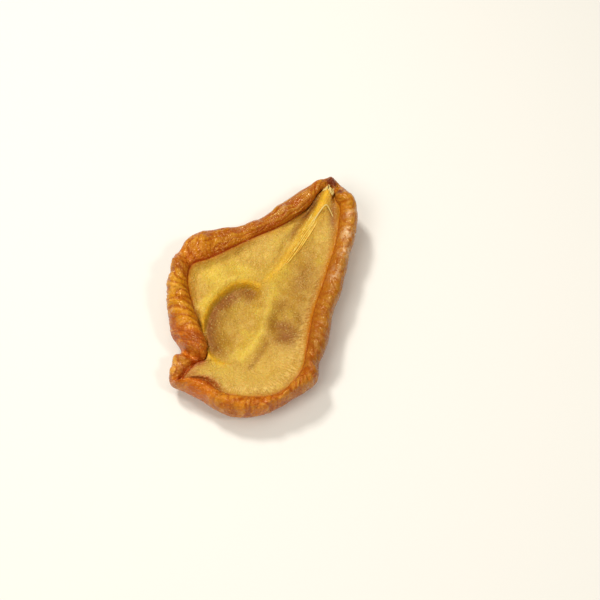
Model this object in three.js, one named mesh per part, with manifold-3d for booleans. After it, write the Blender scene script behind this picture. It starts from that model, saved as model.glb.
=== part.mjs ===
// A smoked dried pear: one half, cut face up, lying on its skin side.
// Millimetres, +Z up, +Y towards the neck. The origin is on the table, under the middle of the outline.
import * as THREE from 'three';
import Module from 'manifold-3d';

// Fineness of the surface
const GRID = 36; // cells along one side of the square grid that the cut face is mapped from
const ROUND = 4 * GRID; // points round the rim
const RIM_ROWS = 14; // rows from the widest line over the rolled rim to the crease against the flesh
const SKIN_ROWS = 8; // rows from the widest line down to the resting spot

// The rim, station by station: anticlockwise from the neck tip, seen from above.
// Outer x and y are on the widest line, inner x and y where the roll hangs over the flesh.
// Edge is the height of the widest line, and crest the height of the top of the roll.
// Lean is how far the top leans over the flesh, as a share of the roll's width.
// Tuck is how many degrees the roll turns under before it meets the flesh, or stops short where negative.
const RIM = [
  // outer x, outer y, inner x, inner y, edge, crest, lean, tuck
  [6, 37.3, 7, 34, 9, 11, 0.1, 20], // neck tip
  [3, 34.5, 5, 32, 9, 11, 0.1, 30],
  [0, 30.5, 4, 27, 8.5, 11, 0.15, 40], // thin leathery side of the neck
  [-3.5, 25.5, 1.5, 22.5, 8.5, 11, 0.15, 25],
  [-6.5, 20, -2, 17.5, 8.5, 11, 0.05, 0],
  [-10.5, 15, -6.7, 11.7, 8.5, 11, 0, -20],
  [-16, 11, -11, 6, 8.5, 11.5, 0, -25],
  [-21, 7.8, -15.5, 0, 8.5, 12, 0, -25],
  [-24.5, 3, -19, -3, 9, 12, 0, -20], // shoulder corner
  [-25.3, -3, -19.5, -5, 8.5, 12, -0.05, -20],
  [-24.5, -9, -18.5, -8.5, 8, 12, 0, -20],
  [-22.5, -14.5, -16, -12.5, 8, 12.5, 0, -10],
  [-19.5, -20, -11.5, -18, 7.5, 12.5, 0.1, 5], // flap that curls over the flesh
  [-16.5, -24.5, -7.3, -22.5, 7, 12.5, 0.2, 30],
  [-13.3, -26.5, -5.3, -27.2, 6, 11.5, 0.15, 30], // notch
  [-13.8, -29.5, -7.9, -30, 6, 8.9, 0, -20],
  [-13, -33.5, -9, -32.8, 5.5, 8.2, 0, -20], // corner of the fold
  [-11.8, -36.9, -9.3, -35.2, 5.5, 9.4, 0.1, -20],
  [-7, -37.3, -5.7, -33.5, 6, 10.8, 0.12, -20], // smooth lower lip
  [-3, -37.7, -1.8, -32.9, 6, 11, 0.12, -22],
  [1.5, -38.5, 2.3, -34.2, 6, 11, 0.1, -24],
  [7, -39, 7, -33.5, 6, 11, 0.05, -25], // blossom end
  [12, -37.3, 11.5, -32, 6, 11, 0.05, -25],
  [17, -34, 15.8, -30, 6.5, 11.5, 0.05, -22],
  [21.2, -28.5, 19, -26, 7, 12, 0, -18],
  [25.2, -22.5, 20.5, -20, 7.5, 12.5, 0, -15],
  [24.5, -16.5, 19.5, -14.5, 8, 12, 0, -12],
  [24, -9.5, 18, -8, 8, 12, -0.05, -12],
  [22.5, -2.5, 16.8, -2, 8, 12, -0.1, -12],
  [22, 4.5, 16.3, 4.5, 8, 12, -0.15, -12],
  [21, 12, 15.7, 11.5, 8.5, 12.5, -0.15, -12],
  [20, 19, 15.2, 17.5, 8.5, 12.5, -0.1, -12],
  [19, 25.5, 14, 23.5, 9, 13, -0.1, -10],
  [17, 31, 12.5, 28.5, 9.5, 13, 0, -10],
  [13.8, 33.7, 10.5, 30.7, 9.5, 12.8, 0.15, 10],
  [9.8, 36.3, 9, 33, 9, 11.2, 0.1, 20],
];
const TUCK_DEPTH = 2.6; // how far the roll's inner side falls below the widest line's height
const SIDE_SWELL = 0.35; // share of the creases and knuckles that shows on the widest line
const SIDE_FOLDS = 0.3; // and of the folds

// Creases across the roll: place in stations, depth (a bulge where negative), half length in stations.
const CREASES = [
  [0.2, 1, 0.5],
  [8.4, 1.4, 0.4],
  [14.3, 1.9, 0.3],
  [16.9, 1.2, 0.4],
  [23.2, 0.6, 0.3],
  [25.9, 1.3, 0.3],
  [28.3, 0.5, 0.3],
  [30.6, 0.5, 0.3],
  [32.8, 0.8, 0.22],
  [33.7, -0.5, 0.35],
  [34.9, 1.4, 0.35],
];
// Knuckles: the roll swells and narrows all the way round.
const KNUCKLE_COUNT = 31;
const KNUCKLE_DEPTH = 0.32;
const KNUCKLE_DRIFT = 0.9; // how far their spacing wanders, in radians
const DRIFT_WAVES = [[5, 0], [3, 1]]; // how often it wanders round the rim, and the phase
const KNUCKLE_CALM = { share: 0.35, waves: 7, phase: 2 }; // where they are lower
// Slanting folds in the skin: height, waves round the rim, waves over the roll, phase in turns.
const FOLDS = [
  [0.14, 23, 0.35, 0],
  [0.12, 37, -0.5, 0.3],
  [0.12, 14, 1.1, 0.7],
  [0.08, 45, 0.9, 0.1],
];
const SKIN_FOLD_SHARE = 0.7; // the folds run on down the skin side, lower

// Cut face
const BELLY = { x: 2, y: -13 }; // middle of the skin side
const MIDDLE = { x: 5, y: -23 }; // middle of the cut face
const NECK = { x: 6, y: 24 }; // on the strand, which the neck's grid lines follow
const NECK_PULL = 0.75;
const NECK_SOFTNESS = 6;
const FLESH_MIDDLE = 7; // height of the flesh in the middle of the belly
const FLESH_SIDE = 8.4; // and near the rim
const NECK_LIFT = 0.9; // the neck's flesh lies higher than the belly's
const TUCK_START = 0.88; // share of the way to the rim where the flesh turns down under the roll

// The core, cut out as two shallow lobes
const LEFT_LOBE = { x: -1.5, y: -13.8, across: 8.9, along: 12.8, tilt: 0, depth: 1.5, soft: 0.2 };
const RIGHT_LOBE = { x: 11, y: -9.4, across: 5, along: 7.2, tilt: 25, depth: 0.9, soft: 0.6 };
// The left lobe's floor runs out into the ridge beside it: sharply near the strand, softly further down.
const FLOOR_END_NEAR = { y: -3, from: -0.8, to: 1.4 };
const FLOOR_END_BELOW = { y: -14, from: -4, to: 5 };
const LEDGE_RISE = 0.6; // the flesh swells along the left lobe's edge
const LEDGE_WIDTH = 0.13;
const CORE_RIDGE = [[1.5, 1], [3.9, -3.6], [4.8, -8.2], [5.7, -12.8], [5.6, -17.7], [4.2, -21.6]];
const CORE_RIDGE_RISE = 0.6;
const CORE_RIDGE_WIDTH = 2;
const NECK_HOLLOW = [[4.8, 28], [3, 23.3], [0, 18.5]];
const NECK_HOLLOW_DEPTH = 1;
const NECK_HOLLOW_WIDTH = 2;
// A groove runs along the strand's left side.
const STRAND_GROOVE = [[4.8, 27], [3.1, 22], [2.3, 16], [2, 9], [0.4, 3], [-0.9, -0.2]];
const STRAND_GROOVE_DEPTH = 0.5;
const STRAND_GROOVE_WIDTH = 0.9;
const SWELLS = [ // low waves in the flesh: rise, length and direction in degrees
  [0.22, 17, 20],
  [0.16, 11, 115],
  [0.12, 8, 65],
];

// Strand of fibres, from the neck to the core
const STRAND = [[7.6, 34], [7.3, 29], [6.6, 23.5], [5.7, 17.5], [4.5, 12], [3.2, 6.3], [1.4, 0.7]];
const STRAND_RISE = 1.3;
const STRAND_FADE = 0.8; // how much of its rise is gone at the core, as a share
const STRAND_WIDTH = 2.1;
const STRAND_TOP = 0.75; // width at the neck, as a share
const STRAND_SWELL = 0.9;
const STRAND_TAPER = 1.2;
const FIBRE_OFFSETS = [-1.5, -0.8, -0.1, 0.6, 1.3]; // across the strand, at the neck
const FIBRE_GATHER = 0.5; // how far they draw together at the core, as a share
const FIBRE_RADIUS = 0.5;
const FIBRE_END_RADIUS = 0.32;
const FIBRE_SINK = 0.1; // how deep the middle of a fibre lies in the strand at the neck
const FIBRE_END_SINK = 0.4;
const FIBRE_STARTS = 0.02; // step from one fibre's start to the next, as a share of the strand's length
const FIBRE_END = 0.86; // share of the strand's length where the first fibre ends
const FIBRE_ENDS = 0.06; // step from one fibre's end to the next
const LOOSE_FIBRE = [ // x, y and height clear of the flesh
  [6.9, 22.5, -0.2],
  [7.6, 25.2, 0.7],
  [8.6, 27.6, 1.5],
  [10, 27, 1.2],
  [11.5, 25.8, 0.4],
];
const LOOSE_FIBRE_RADIUS = 0.33;
const FIBRE_SIDES = 6;
const FIBRE_STEPS = 16;
const FIBRE_KNOTS = 8; // points that a fibre's curve runs through, less one

// Skin side
const REST_SHARE = 0.25; // share of the way from the middle to the outline that lies on the table
const BOWL_POWER = 2.2;

// The half has warped as it dried: the neck and the shoulder stand clear of the table.
const NECK_CURL = { rise: 2.4, from: 8, to: 42 };
const SHOULDER_CURL = { rise: 1.4, from: 8, to: 27 };

const { lerp, euclideanModulo, degToRad } = THREE.MathUtils;
const smooth = (from, to, value) => THREE.MathUtils.smoothstep(value, from, to);
const bell = (distance, width) => Math.exp(-((distance / width) ** 2));

// Distance from a point to a line of points, and the share of the line passed at the nearest place.
function nearest(line, x, y) {
  let best = { distance: Infinity, share: 0 };
  for (let k = 0; k + 1 < line.length; k++) {
    const [ax, ay] = line[k];
    const dx = line[k + 1][0] - ax;
    const dy = line[k + 1][1] - ay;
    const along = THREE.MathUtils.clamp(((x - ax) * dx + (y - ay) * dy) / (dx * dx + dy * dy), 0, 1);
    const distance = Math.hypot(x - ax - along * dx, y - ay - along * dy);
    if (distance < best.distance) best = { distance, share: (k + along) / (line.length - 1) };
  }
  return best;
}

// Points at equal steps round the rim, each with its place in stations.
function rimStations(count) {
  const closedCurve = (points) => new THREE.CatmullRomCurve3(points, true, 'catmullrom', 0.5);
  const outer = closedCurve(RIM.map((row) => new THREE.Vector3(row[0], row[1], row[4])));
  const inner = closedCurve(RIM.map((row) => new THREE.Vector3(row[2], row[3], row[5])));
  const turns = closedCurve(RIM.map((row) => new THREE.Vector3(row[6], degToRad(row[7]), 0)));
  const middle = (share) => outer.getPoint(share).add(inner.getPoint(share)).multiplyScalar(0.5).setZ(0);
  const steps = 20 * RIM.length;
  const lengths = [0];
  for (let k = 1; k <= steps; k++) {
    lengths.push(lengths[k - 1] + middle(k / steps).distanceTo(middle((k - 1) / steps)));
  }
  const stations = [];
  let k = 0;
  for (let j = 0; j < count; j++) {
    const length = (lengths[steps] * j) / count;
    while (lengths[k + 1] < length) k++;
    const share = (k + (length - lengths[k]) / (lengths[k + 1] - lengths[k])) / steps;
    stations.push({
      outer: outer.getPoint(share),
      inner: inner.getPoint(share),
      lean: turns.getPoint(share).x,
      tuck: turns.getPoint(share).y,
      place: share * RIM.length,
      turn: (2 * Math.PI * j) / count,
    });
  }
  return stations;
}

// How far the roll swells out, or is drawn in where negative, at a place in stations.
function swelling(place) {
  const turn = (2 * Math.PI * place) / RIM.length;
  let phase = KNUCKLE_COUNT * turn;
  for (const [waves, start] of DRIFT_WAVES) phase += KNUCKLE_DRIFT * Math.sin(waves * turn + start);
  const calm = KNUCKLE_CALM.share * (1 - Math.sin(KNUCKLE_CALM.waves * turn + KNUCKLE_CALM.phase));
  let swell = KNUCKLE_DEPTH * (1 - calm) * Math.cos(phase);
  for (const [at, depth, half] of CREASES) {
    const away = euclideanModulo(place - at + RIM.length / 2, RIM.length) - RIM.length / 2;
    swell -= depth * bell(away, half);
  }
  return swell;
}

// Height of the slanting folds, at a turn round the rim and an angle over the roll.
function foldHeight(turn, angle) {
  let height = 0;
  for (const [depth, around, over, phase] of FOLDS) {
    height += depth * Math.sin(around * turn + 2 * Math.PI * (phase + (over * angle) / Math.PI));
  }
  return height;
}

// A point on the roll. The angle is 0 on the widest line and 90 degrees on top.
function rimPoint(station, angle) {
  const { outer, inner, lean, place, turn } = station;
  const width = Math.hypot(outer.x - inner.x, outer.y - inner.y);
  const side = Math.cos(angle);
  const up = Math.sin(angle);
  const top = Math.max(up, 0);
  const rise = up > 0 ? inner.z - outer.z : TUCK_DEPTH;
  const folds = foldHeight(turn, angle) * Math.max(up, SIDE_FOLDS);
  const swell = swelling(place) * lerp(SIDE_SWELL, 1, top) + folds;
  const across = (width / 2) * (1 + side) - lean * width * top + swell * Math.max(side, 0);
  return new THREE.Vector3(
    inner.x + ((outer.x - inner.x) * across) / width,
    inner.y + ((outer.y - inner.y) * across) / width,
    outer.z + rise * up + swell * top,
  );
}

// The way from a middle to a point of the rim runs up the neck before it turns outwards.
function spread(middle, edge, share) {
  const reach = NECK_SOFTNESS * Math.log1p(Math.exp((edge.y - middle.y) / NECK_SOFTNESS));
  const viaY = middle.y + NECK_PULL * reach;
  const viaX = lerp(middle.x, NECK.x, smooth(middle.y, NECK.y, viaY));
  const start = (1 - share) ** 2;
  const via = share * (1 - share);
  return [
    middle.x * start + viaX * via + edge.x * share,
    middle.y * start + viaY * via + edge.y * share,
  ];
}

// Distance from a lobe's middle, as a share of its size.
function lobeShare(lobe, x, y) {
  const tilt = degToRad(lobe.tilt);
  const [dx, dy] = [x - lobe.x, y - lobe.y];
  const across = dx * Math.cos(tilt) + dy * Math.sin(tilt);
  const along = dy * Math.cos(tilt) - dx * Math.sin(tilt);
  return Math.hypot(across / lobe.across, along / lobe.along);
}

// 1 on the left lobe's floor, falling to 0 at the ridge beside it.
function leftFloor(x, y) {
  const near = smooth(FLOOR_END_BELOW.y, FLOOR_END_NEAR.y, y);
  const from = lerp(FLOOR_END_BELOW.from, FLOOR_END_NEAR.from, near);
  return 1 - smooth(from, lerp(FLOOR_END_BELOW.to, FLOOR_END_NEAR.to, near), x);
}

// The strand is widest a third of the way down it, and narrowest at the core.
const strandWidth = (passed) =>
  STRAND_WIDTH * (STRAND_TOP + STRAND_SWELL * passed * (1 - STRAND_TAPER * passed));

// Height of the flesh at a point of the cut face.
function fleshHeight(x, y, share) {
  let z = lerp(FLESH_MIDDLE, FLESH_SIDE, smooth(0.25, 0.9, share)) + NECK_LIFT * smooth(0, 30, y);
  const left = lobeShare(LEFT_LOBE, x, y);
  z -= LEFT_LOBE.depth * leftFloor(x, y) * (1 - smooth(1 - LEFT_LOBE.soft, 1, left));
  z += LEDGE_RISE * leftFloor(x, y) * bell(left - 1 - LEDGE_WIDTH, LEDGE_WIDTH);
  const right = lobeShare(RIGHT_LOBE, x, y);
  z -= RIGHT_LOBE.depth * smooth(3, 8, x) * (1 - smooth(1 - RIGHT_LOBE.soft, 1, right));
  z += CORE_RIDGE_RISE * bell(nearest(CORE_RIDGE, x, y).distance, CORE_RIDGE_WIDTH);
  z -= NECK_HOLLOW_DEPTH * bell(nearest(NECK_HOLLOW, x, y).distance, NECK_HOLLOW_WIDTH);
  z -= STRAND_GROOVE_DEPTH * bell(nearest(STRAND_GROOVE, x, y).distance, STRAND_GROOVE_WIDTH);
  for (const [rise, length, degrees] of SWELLS) {
    const along = x * Math.cos(degToRad(degrees)) + y * Math.sin(degToRad(degrees));
    z += rise * Math.sin((2 * Math.PI * along) / length);
  }
  const strand = nearest(STRAND, x, y);
  const rise = STRAND_RISE * (1 - STRAND_FADE * strand.share ** 2);
  return z + rise * bell(strand.distance, strandWidth(strand.share));
}

// How far the warp lifts a point off the table.
function curl(x, y) {
  const neck = NECK_CURL.rise * smooth(NECK_CURL.from, NECK_CURL.to, y);
  return neck + SHOULDER_CURL.rise * smooth(SHOULDER_CURL.from, SHOULDER_CURL.to, -x);
}

// A closed solid from points and triangles that share them, with the warp applied.
function solid(wasm, points, triangles) {
  const vertProperties = new Float32Array(points.flatMap(({ x, y, z }) => [x, y, z + curl(x, y)]));
  const triVerts = new Uint32Array(triangles.flat());
  return new wasm.Manifold(new wasm.Mesh({ numProp: 3, vertProperties, triVerts }));
}

// The half pear: rolled rim, cut face inside it, skin below it, and the flat spot that it rests on.
function halfPear(wasm) {
  const points = [];
  const triangles = [];
  const stations = rimStations(ROUND);
  const quad = (a, b, c, d) => triangles.push([a, b, c], [a, c, d]);

  for (let row = 0; row <= RIM_ROWS; row++) {
    const share = row / RIM_ROWS;
    for (const station of stations) points.push(rimPoint(station, (Math.PI + station.tuck) * share));
  }
  const rim = (row, j) => row * ROUND + (j % ROUND);
  for (let row = 0; row < RIM_ROWS; row++) {
    for (let j = 0; j < ROUND; j++) {
      quad(rim(row, j), rim(row, j + 1), rim(row + 1, j + 1), rim(row + 1, j));
    }
  }

  addCutFace(points, triangles, (j) => rim(RIM_ROWS, j));
  addSkin(points, triangles, (j) => rim(0, j));
  return solid(wasm, points, triangles);
}

// The cut face is a square grid pulled out to the crease under the roll, ring by ring.
function addCutFace(points, triangles, edgeIndex) {
  const half = GRID / 2;
  const edge = Array.from({ length: ROUND }, (_, j) => points[edgeIndex(j)]);
  const indexAt = new Map();
  const key = (i, j) => `${i},${j}`;
  for (let i = -half; i <= half; i++) {
    for (let j = -half; j <= half; j++) {
      const ring = Math.max(Math.abs(i), Math.abs(j));
      const step = ringStep(i, j, ring);
      if (ring === half) {
        indexAt.set(key(i, j), edgeIndex(step));
        continue;
      }
      const place = ring === 0 ? 0 : (step * half) / ring;
      const from = edge[Math.floor(place) % ROUND];
      const to = edge[(Math.floor(place) + 1) % ROUND];
      const rim = from.clone().lerp(to, place % 1);
      const share = ring / half;
      const [x, y] = spread(MIDDLE, rim, share);
      const z = lerp(fleshHeight(x, y, share), rim.z, smooth(TUCK_START, 1, share));
      indexAt.set(key(i, j), points.push(new THREE.Vector3(x, y, z)) - 1);
    }
  }
  for (let i = -half; i < half; i++) {
    for (let j = -half; j < half; j++) {
      const [a, b] = [indexAt.get(key(i, j)), indexAt.get(key(i + 1, j))];
      const [c, d] = [indexAt.get(key(i + 1, j + 1)), indexAt.get(key(i, j + 1))];
      // The cut between two triangles points at the nearest corner of the grid.
      if (i < 0 === j < 0) triangles.push([a, b, c], [a, c, d]);
      else triangles.push([a, b, d], [b, c, d]);
    }
  }
}

// Steps along a ring of the grid, from its corner at +i, -j, anticlockwise.
function ringStep(i, j, ring) {
  if (ring === 0) return 0;
  if (i === ring && j < ring) return j + ring;
  if (j === ring && i > -ring) return 3 * ring - i;
  if (i === -ring && j > -ring) return 5 * ring - j;
  return 7 * ring + i;
}

// The skin falls from the widest line in a shallow bowl to the resting spot.
function addSkin(points, triangles, edgeIndex) {
  const rows = [Array.from({ length: ROUND }, (_, j) => edgeIndex(j))];
  for (let row = 1; row <= SKIN_ROWS; row++) {
    const fall = Math.cos((Math.PI / 2) * (row / SKIN_ROWS));
    const share = lerp(REST_SHARE, 1, fall);
    rows.push(rows[0].map((index, j) => {
      const edge = points[index];
      const [x, y] = spread(BELLY, edge, share);
      const folds = SKIN_FOLD_SHARE * foldHeight((2 * Math.PI * j) / ROUND, 0) * Math.sin(Math.PI * fall);
      const z = edge.z * (1 - Math.sqrt(1 - fall ** BOWL_POWER)) + folds * fall;
      return points.push(new THREE.Vector3(x, y, z)) - 1;
    }));
    for (let j = 0; j < ROUND; j++) {
      const next = (j + 1) % ROUND;
      const [a, b] = [rows[row - 1][j], rows[row - 1][next]];
      const [c, d] = [rows[row][next], rows[row][j]];
      triangles.push([a, d, c], [a, c, b]);
    }
  }
  const spot = rows[SKIN_ROWS];
  const outline = spot.map((index) => new THREE.Vector2(points[index].x, points[index].y));
  for (const [a, b, c] of THREE.ShapeUtils.triangulateShape(outline, [])) {
    triangles.push([spot[a], spot[c], spot[b]]);
  }
}

// A fibre: a tapering tube of few sides with pointed ends.
function fibre(wasm, path, startRadius, endRadius) {
  const frames = path.computeFrenetFrames(FIBRE_STEPS, false);
  const points = [];
  const triangles = [];
  for (let k = 0; k <= FIBRE_STEPS; k++) {
    const centre = path.getPointAt(k / FIBRE_STEPS);
    const radius = lerp(startRadius, endRadius, k / FIBRE_STEPS);
    for (let s = 0; s < FIBRE_SIDES; s++) {
      const turn = (2 * Math.PI * s) / FIBRE_SIDES;
      const out = frames.normals[k].clone().multiplyScalar(radius * Math.cos(turn));
      out.addScaledVector(frames.binormals[k], radius * Math.sin(turn));
      points.push(centre.clone().add(out));
    }
  }
  const at = (k, s) => k * FIBRE_SIDES + (s % FIBRE_SIDES);
  for (let k = 0; k < FIBRE_STEPS; k++) {
    for (let s = 0; s < FIBRE_SIDES; s++) {
      triangles.push([at(k, s), at(k, s + 1), at(k + 1, s + 1)]);
      triangles.push([at(k, s), at(k + 1, s + 1), at(k + 1, s)]);
    }
  }
  const first = points.push(path.getPointAt(0).addScaledVector(frames.tangents[0], -startRadius)) - 1;
  const last = points.push(path.getPointAt(1).addScaledVector(frames.tangents[FIBRE_STEPS], endRadius)) - 1;
  for (let s = 0; s < FIBRE_SIDES; s++) {
    triangles.push([first, at(0, s + 1), at(0, s)], [last, at(FIBRE_STEPS, s), at(FIBRE_STEPS, s + 1)]);
  }
  return solid(wasm, points, triangles);
}

// The fibres lie side by side on the strand, half sunk in it, and draw together towards the core.
function strandFibres(wasm) {
  const middle = new THREE.CatmullRomCurve3(STRAND.map(([x, y]) => new THREE.Vector3(x, y, 0)));
  return FIBRE_OFFSETS.map((offset, n) => {
    const path = [];
    for (let k = 0; k <= FIBRE_KNOTS; k++) {
      const share = lerp(FIBRE_STARTS * n, FIBRE_END - FIBRE_ENDS * n, k / FIBRE_KNOTS);
      const point = middle.getPoint(share);
      const tangent = middle.getTangent(share);
      const aside = offset * (1 - FIBRE_GATHER * share);
      const x = point.x + tangent.y * aside;
      const y = point.y - tangent.x * aside;
      const sink = lerp(FIBRE_SINK, FIBRE_END_SINK, share ** 2);
      path.push(new THREE.Vector3(x, y, fleshHeight(x, y, 0.5) - sink));
    }
    return fibre(wasm, new THREE.CatmullRomCurve3(path), FIBRE_RADIUS, FIBRE_END_RADIUS);
  });
}

// One fibre has sprung out of the strand and bent over.
function looseFibre(wasm) {
  const path = LOOSE_FIBRE.map(([x, y, clear]) => new THREE.Vector3(x, y, fleshHeight(x, y, 0.6) + clear));
  return fibre(wasm, new THREE.CatmullRomCurve3(path), LOOSE_FIBRE_RADIUS, LOOSE_FIBRE_RADIUS);
}

// A mesh for display from a solid, moved so that its outline is centred over the origin.
function centredGeometry(shape) {
  const { vertProperties, triVerts } = shape.getMesh();
  const geometry = new THREE.BufferGeometry();
  geometry.setAttribute('position', new THREE.BufferAttribute(new Float32Array(vertProperties), 3));
  geometry.setIndex(new THREE.BufferAttribute(new Uint32Array(triVerts), 1));
  geometry.computeBoundingBox();
  const centre = geometry.boundingBox.getCenter(new THREE.Vector3());
  geometry.translate(-centre.x, -centre.y, -geometry.boundingBox.min.z);
  geometry.computeVertexNormals();
  return geometry;
}

const wasm = await Module();
wasm.setup();
let pear = halfPear(wasm);
for (const strand of [...strandFibres(wasm), looseFibre(wasm)]) pear = pear.add(strand);
// Where fibres seal a tiny hollow between them, it is filled.
pear = pear.decompose().sort((a, b) => b.volume() - a.volume())[0];

const driedFlesh = new THREE.MeshStandardMaterial({ color: 0xc9973f, roughness: 0.45, metalness: 0 });
const half = new THREE.Mesh(centredGeometry(pear), driedFlesh);
half.name = 'dried_pear_half';

const model = new THREE.Group();
model.add(half);
export default model;
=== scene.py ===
# A smoked dried pear half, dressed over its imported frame. Metres, +Z up, +Y towards the neck.
import math

import bpy
import numpy as np
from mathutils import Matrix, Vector


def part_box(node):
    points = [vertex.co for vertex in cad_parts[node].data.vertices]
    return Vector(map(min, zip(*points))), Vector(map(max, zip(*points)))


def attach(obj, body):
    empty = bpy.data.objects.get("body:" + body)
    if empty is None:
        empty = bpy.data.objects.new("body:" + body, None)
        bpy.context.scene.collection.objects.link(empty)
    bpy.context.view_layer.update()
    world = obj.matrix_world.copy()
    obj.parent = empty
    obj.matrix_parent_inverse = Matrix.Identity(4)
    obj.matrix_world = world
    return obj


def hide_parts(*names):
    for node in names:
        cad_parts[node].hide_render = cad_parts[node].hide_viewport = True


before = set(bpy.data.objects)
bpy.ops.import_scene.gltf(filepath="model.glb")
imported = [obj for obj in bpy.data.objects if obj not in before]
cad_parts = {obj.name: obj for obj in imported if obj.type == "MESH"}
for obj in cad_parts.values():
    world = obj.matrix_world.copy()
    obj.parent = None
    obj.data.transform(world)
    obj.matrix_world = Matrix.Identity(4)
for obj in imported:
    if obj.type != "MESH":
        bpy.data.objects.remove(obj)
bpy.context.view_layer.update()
NODE = "dried_pear_half"
BODY = "root"

MM = 0.001
TAU = 2 * math.pi

# Fineness of the surface
GRID = 176  # cells along one side of the grid that the cut face is mapped from
ROUND = 4 * GRID  # points round the rim
RIM_ROWS = 52  # rows from the widest line over the rolled rim to the crease
SKIN_ROWS = 46  # rows from the widest line down to the resting spot
SPLINE_STEPS = 60  # steps between two stations of the rim

# The pear's driving sizes, in millimetres, as its solid has them

# The rim's stations run anticlockwise from the neck tip, and their outer points are on the widest line.
# Edge is that line's height, crest the roll's, and lean how far its top leans in, as a share of its width.
# Tuck is how many degrees it turns under before it meets the flesh, or stops short where negative.
RIM = np.array([  # outer x, outer y, inner x, inner y, edge, crest, lean, tuck
    [6, 37.3, 7, 34, 9, 11, 0.1, 20],  # neck tip
    [3, 34.5, 5, 32, 9, 11, 0.1, 30],
    [0, 30.5, 4, 27, 8.5, 11, 0.15, 40],  # thin leathery side of the neck
    [-3.5, 25.5, 1.5, 22.5, 8.5, 11, 0.15, 25],
    [-6.5, 20, -2, 17.5, 8.5, 11, 0.05, 0],
    [-10.5, 15, -6.7, 11.7, 8.5, 11, 0, -20],
    [-16, 11, -11, 6, 8.5, 11.5, 0, -25],
    [-21, 7.8, -15.5, 0, 8.5, 12, 0, -25],
    [-24.5, 3, -19, -3, 9, 12, 0, -20],  # shoulder corner
    [-25.3, -3, -19.5, -5, 8.5, 12, -0.05, -20],
    [-24.5, -9, -18.5, -8.5, 8, 12, 0, -20],
    [-22.5, -14.5, -16, -12.5, 8, 12.5, 0, -10],
    [-19.5, -20, -11.5, -18, 7.5, 12.5, 0.1, 5],  # flap that curls over the flesh
    [-16.5, -24.5, -7.3, -22.5, 7, 12.5, 0.2, 30],
    [-13.3, -26.5, -5.3, -27.2, 6, 11.5, 0.15, 30],  # notch
    [-13.8, -29.5, -7.9, -30, 6, 8.9, 0, -20],
    [-13, -33.5, -9, -32.8, 5.5, 8.2, 0, -20],  # corner of the fold
    [-11.8, -36.9, -9.3, -35.2, 5.5, 9.4, 0.1, -20],
    [-7, -37.3, -5.7, -33.5, 6, 10.8, 0.12, -20],  # smooth lower lip
    [-3, -37.7, -1.8, -32.9, 6, 11, 0.12, -22],
    [1.5, -38.5, 2.3, -34.2, 6, 11, 0.1, -24],
    [7, -39, 7, -33.5, 6, 11, 0.05, -25],  # blossom end
    [12, -37.3, 11.5, -32, 6, 11, 0.05, -25],
    [17, -34, 15.8, -30, 6.5, 11.5, 0.05, -22],
    [21.2, -28.5, 19, -26, 7, 12, 0, -18],
    [25.2, -22.5, 20.5, -20, 7.5, 12.5, 0, -15],
    [24.5, -16.5, 19.5, -14.5, 8, 12, 0, -12],
    [24, -9.5, 18, -8, 8, 12, -0.05, -12],
    [22.5, -2.5, 16.8, -2, 8, 12, -0.1, -12],
    [22, 4.5, 16.3, 4.5, 8, 12, -0.15, -12],
    [21, 12, 15.7, 11.5, 8.5, 12.5, -0.15, -12],
    [20, 19, 15.2, 17.5, 8.5, 12.5, -0.1, -12],
    [19, 25.5, 14, 23.5, 9, 13, -0.1, -10],
    [17, 31, 12.5, 28.5, 9.5, 13, 0, -10],
    [13.8, 33.7, 10.5, 30.7, 9.5, 12.8, 0.15, 10],
    [9.8, 36.3, 9, 33, 9, 11.2, 0.1, 20],
])
TUCK_DEPTH = 2.6  # how far the roll's inner side falls below the widest line's height
SIDE_SWELL = 0.35  # share of the creases and knuckles that shows on the widest line
SIDE_FOLDS = 0.3  # and of the folds
CREASES = [  # across the roll: place in stations, depth (a bulge where negative), half length
    (0.2, 1, 0.5), (8.4, 1.4, 0.4), (14.3, 1.9, 0.3), (16.9, 1.2, 0.4), (23.2, 0.6, 0.3),
    (25.9, 1.3, 0.3), (28.3, 0.5, 0.3), (30.6, 0.5, 0.3), (32.8, 0.8, 0.22), (33.7, -0.5, 0.35),
    (34.9, 1.4, 0.35),
]
KNUCKLE_COUNT = 31  # the roll swells and narrows this often all the way round
KNUCKLE_DEPTH = 0.32
KNUCKLE_DRIFT = 0.9  # how far their spacing wanders, in radians
DRIFT_WAVES = [(5, 0), (3, 1)]  # how often it wanders round the rim, and the phase
KNUCKLE_CALM = (0.35, 7, 2)  # where they are lower: share, waves and phase
FOLDS = [  # height, waves round the rim, waves over the roll, phase in turns
    (0.14, 23, 0.35, 0), (0.12, 37, -0.5, 0.3), (0.12, 14, 1.1, 0.7), (0.08, 45, 0.9, 0.1),
]
SKIN_FOLD_SHARE = 0.7  # the folds run on down the skin side, lower
BELLY = (2, -13)  # middle of the skin side
MIDDLE = (5, -23)  # middle of the cut face
NECK = (6, 24)  # on the strand, which the neck's grid lines follow
NECK_PULL = 0.75
NECK_SOFTNESS = 6
FLESH_MIDDLE = 7  # height of the flesh in the middle of the belly
FLESH_SIDE = 8.4  # and near the rim
FLESH_CLIMB = (0.25, 0.9)  # shares of the way to the rim between which it rises
NECK_LIFT = 0.9  # the neck's flesh lies higher than the belly's
NECK_CLIMB = (0, 30)  # y between which it rises
TUCK_START = 0.88  # share of the way to the rim where the flesh turns down under the roll
LEFT_LOBE = {"x": -1.5, "y": -13.8, "across": 8.9, "along": 12.8, "tilt": 0, "depth": 1.5, "soft": 0.09}
RIGHT_LOBE = {"x": 11, "y": -9.4, "across": 5, "along": 7.2, "tilt": 25, "depth": 0.9, "soft": 0.6}
FLOOR_END_NEAR = {"y": -3, "from": -0.8, "to": 1.4}  # where the left lobe's floor runs out into the ridge
FLOOR_END_BELOW = {"y": -14, "from": -4, "to": 5}
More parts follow.
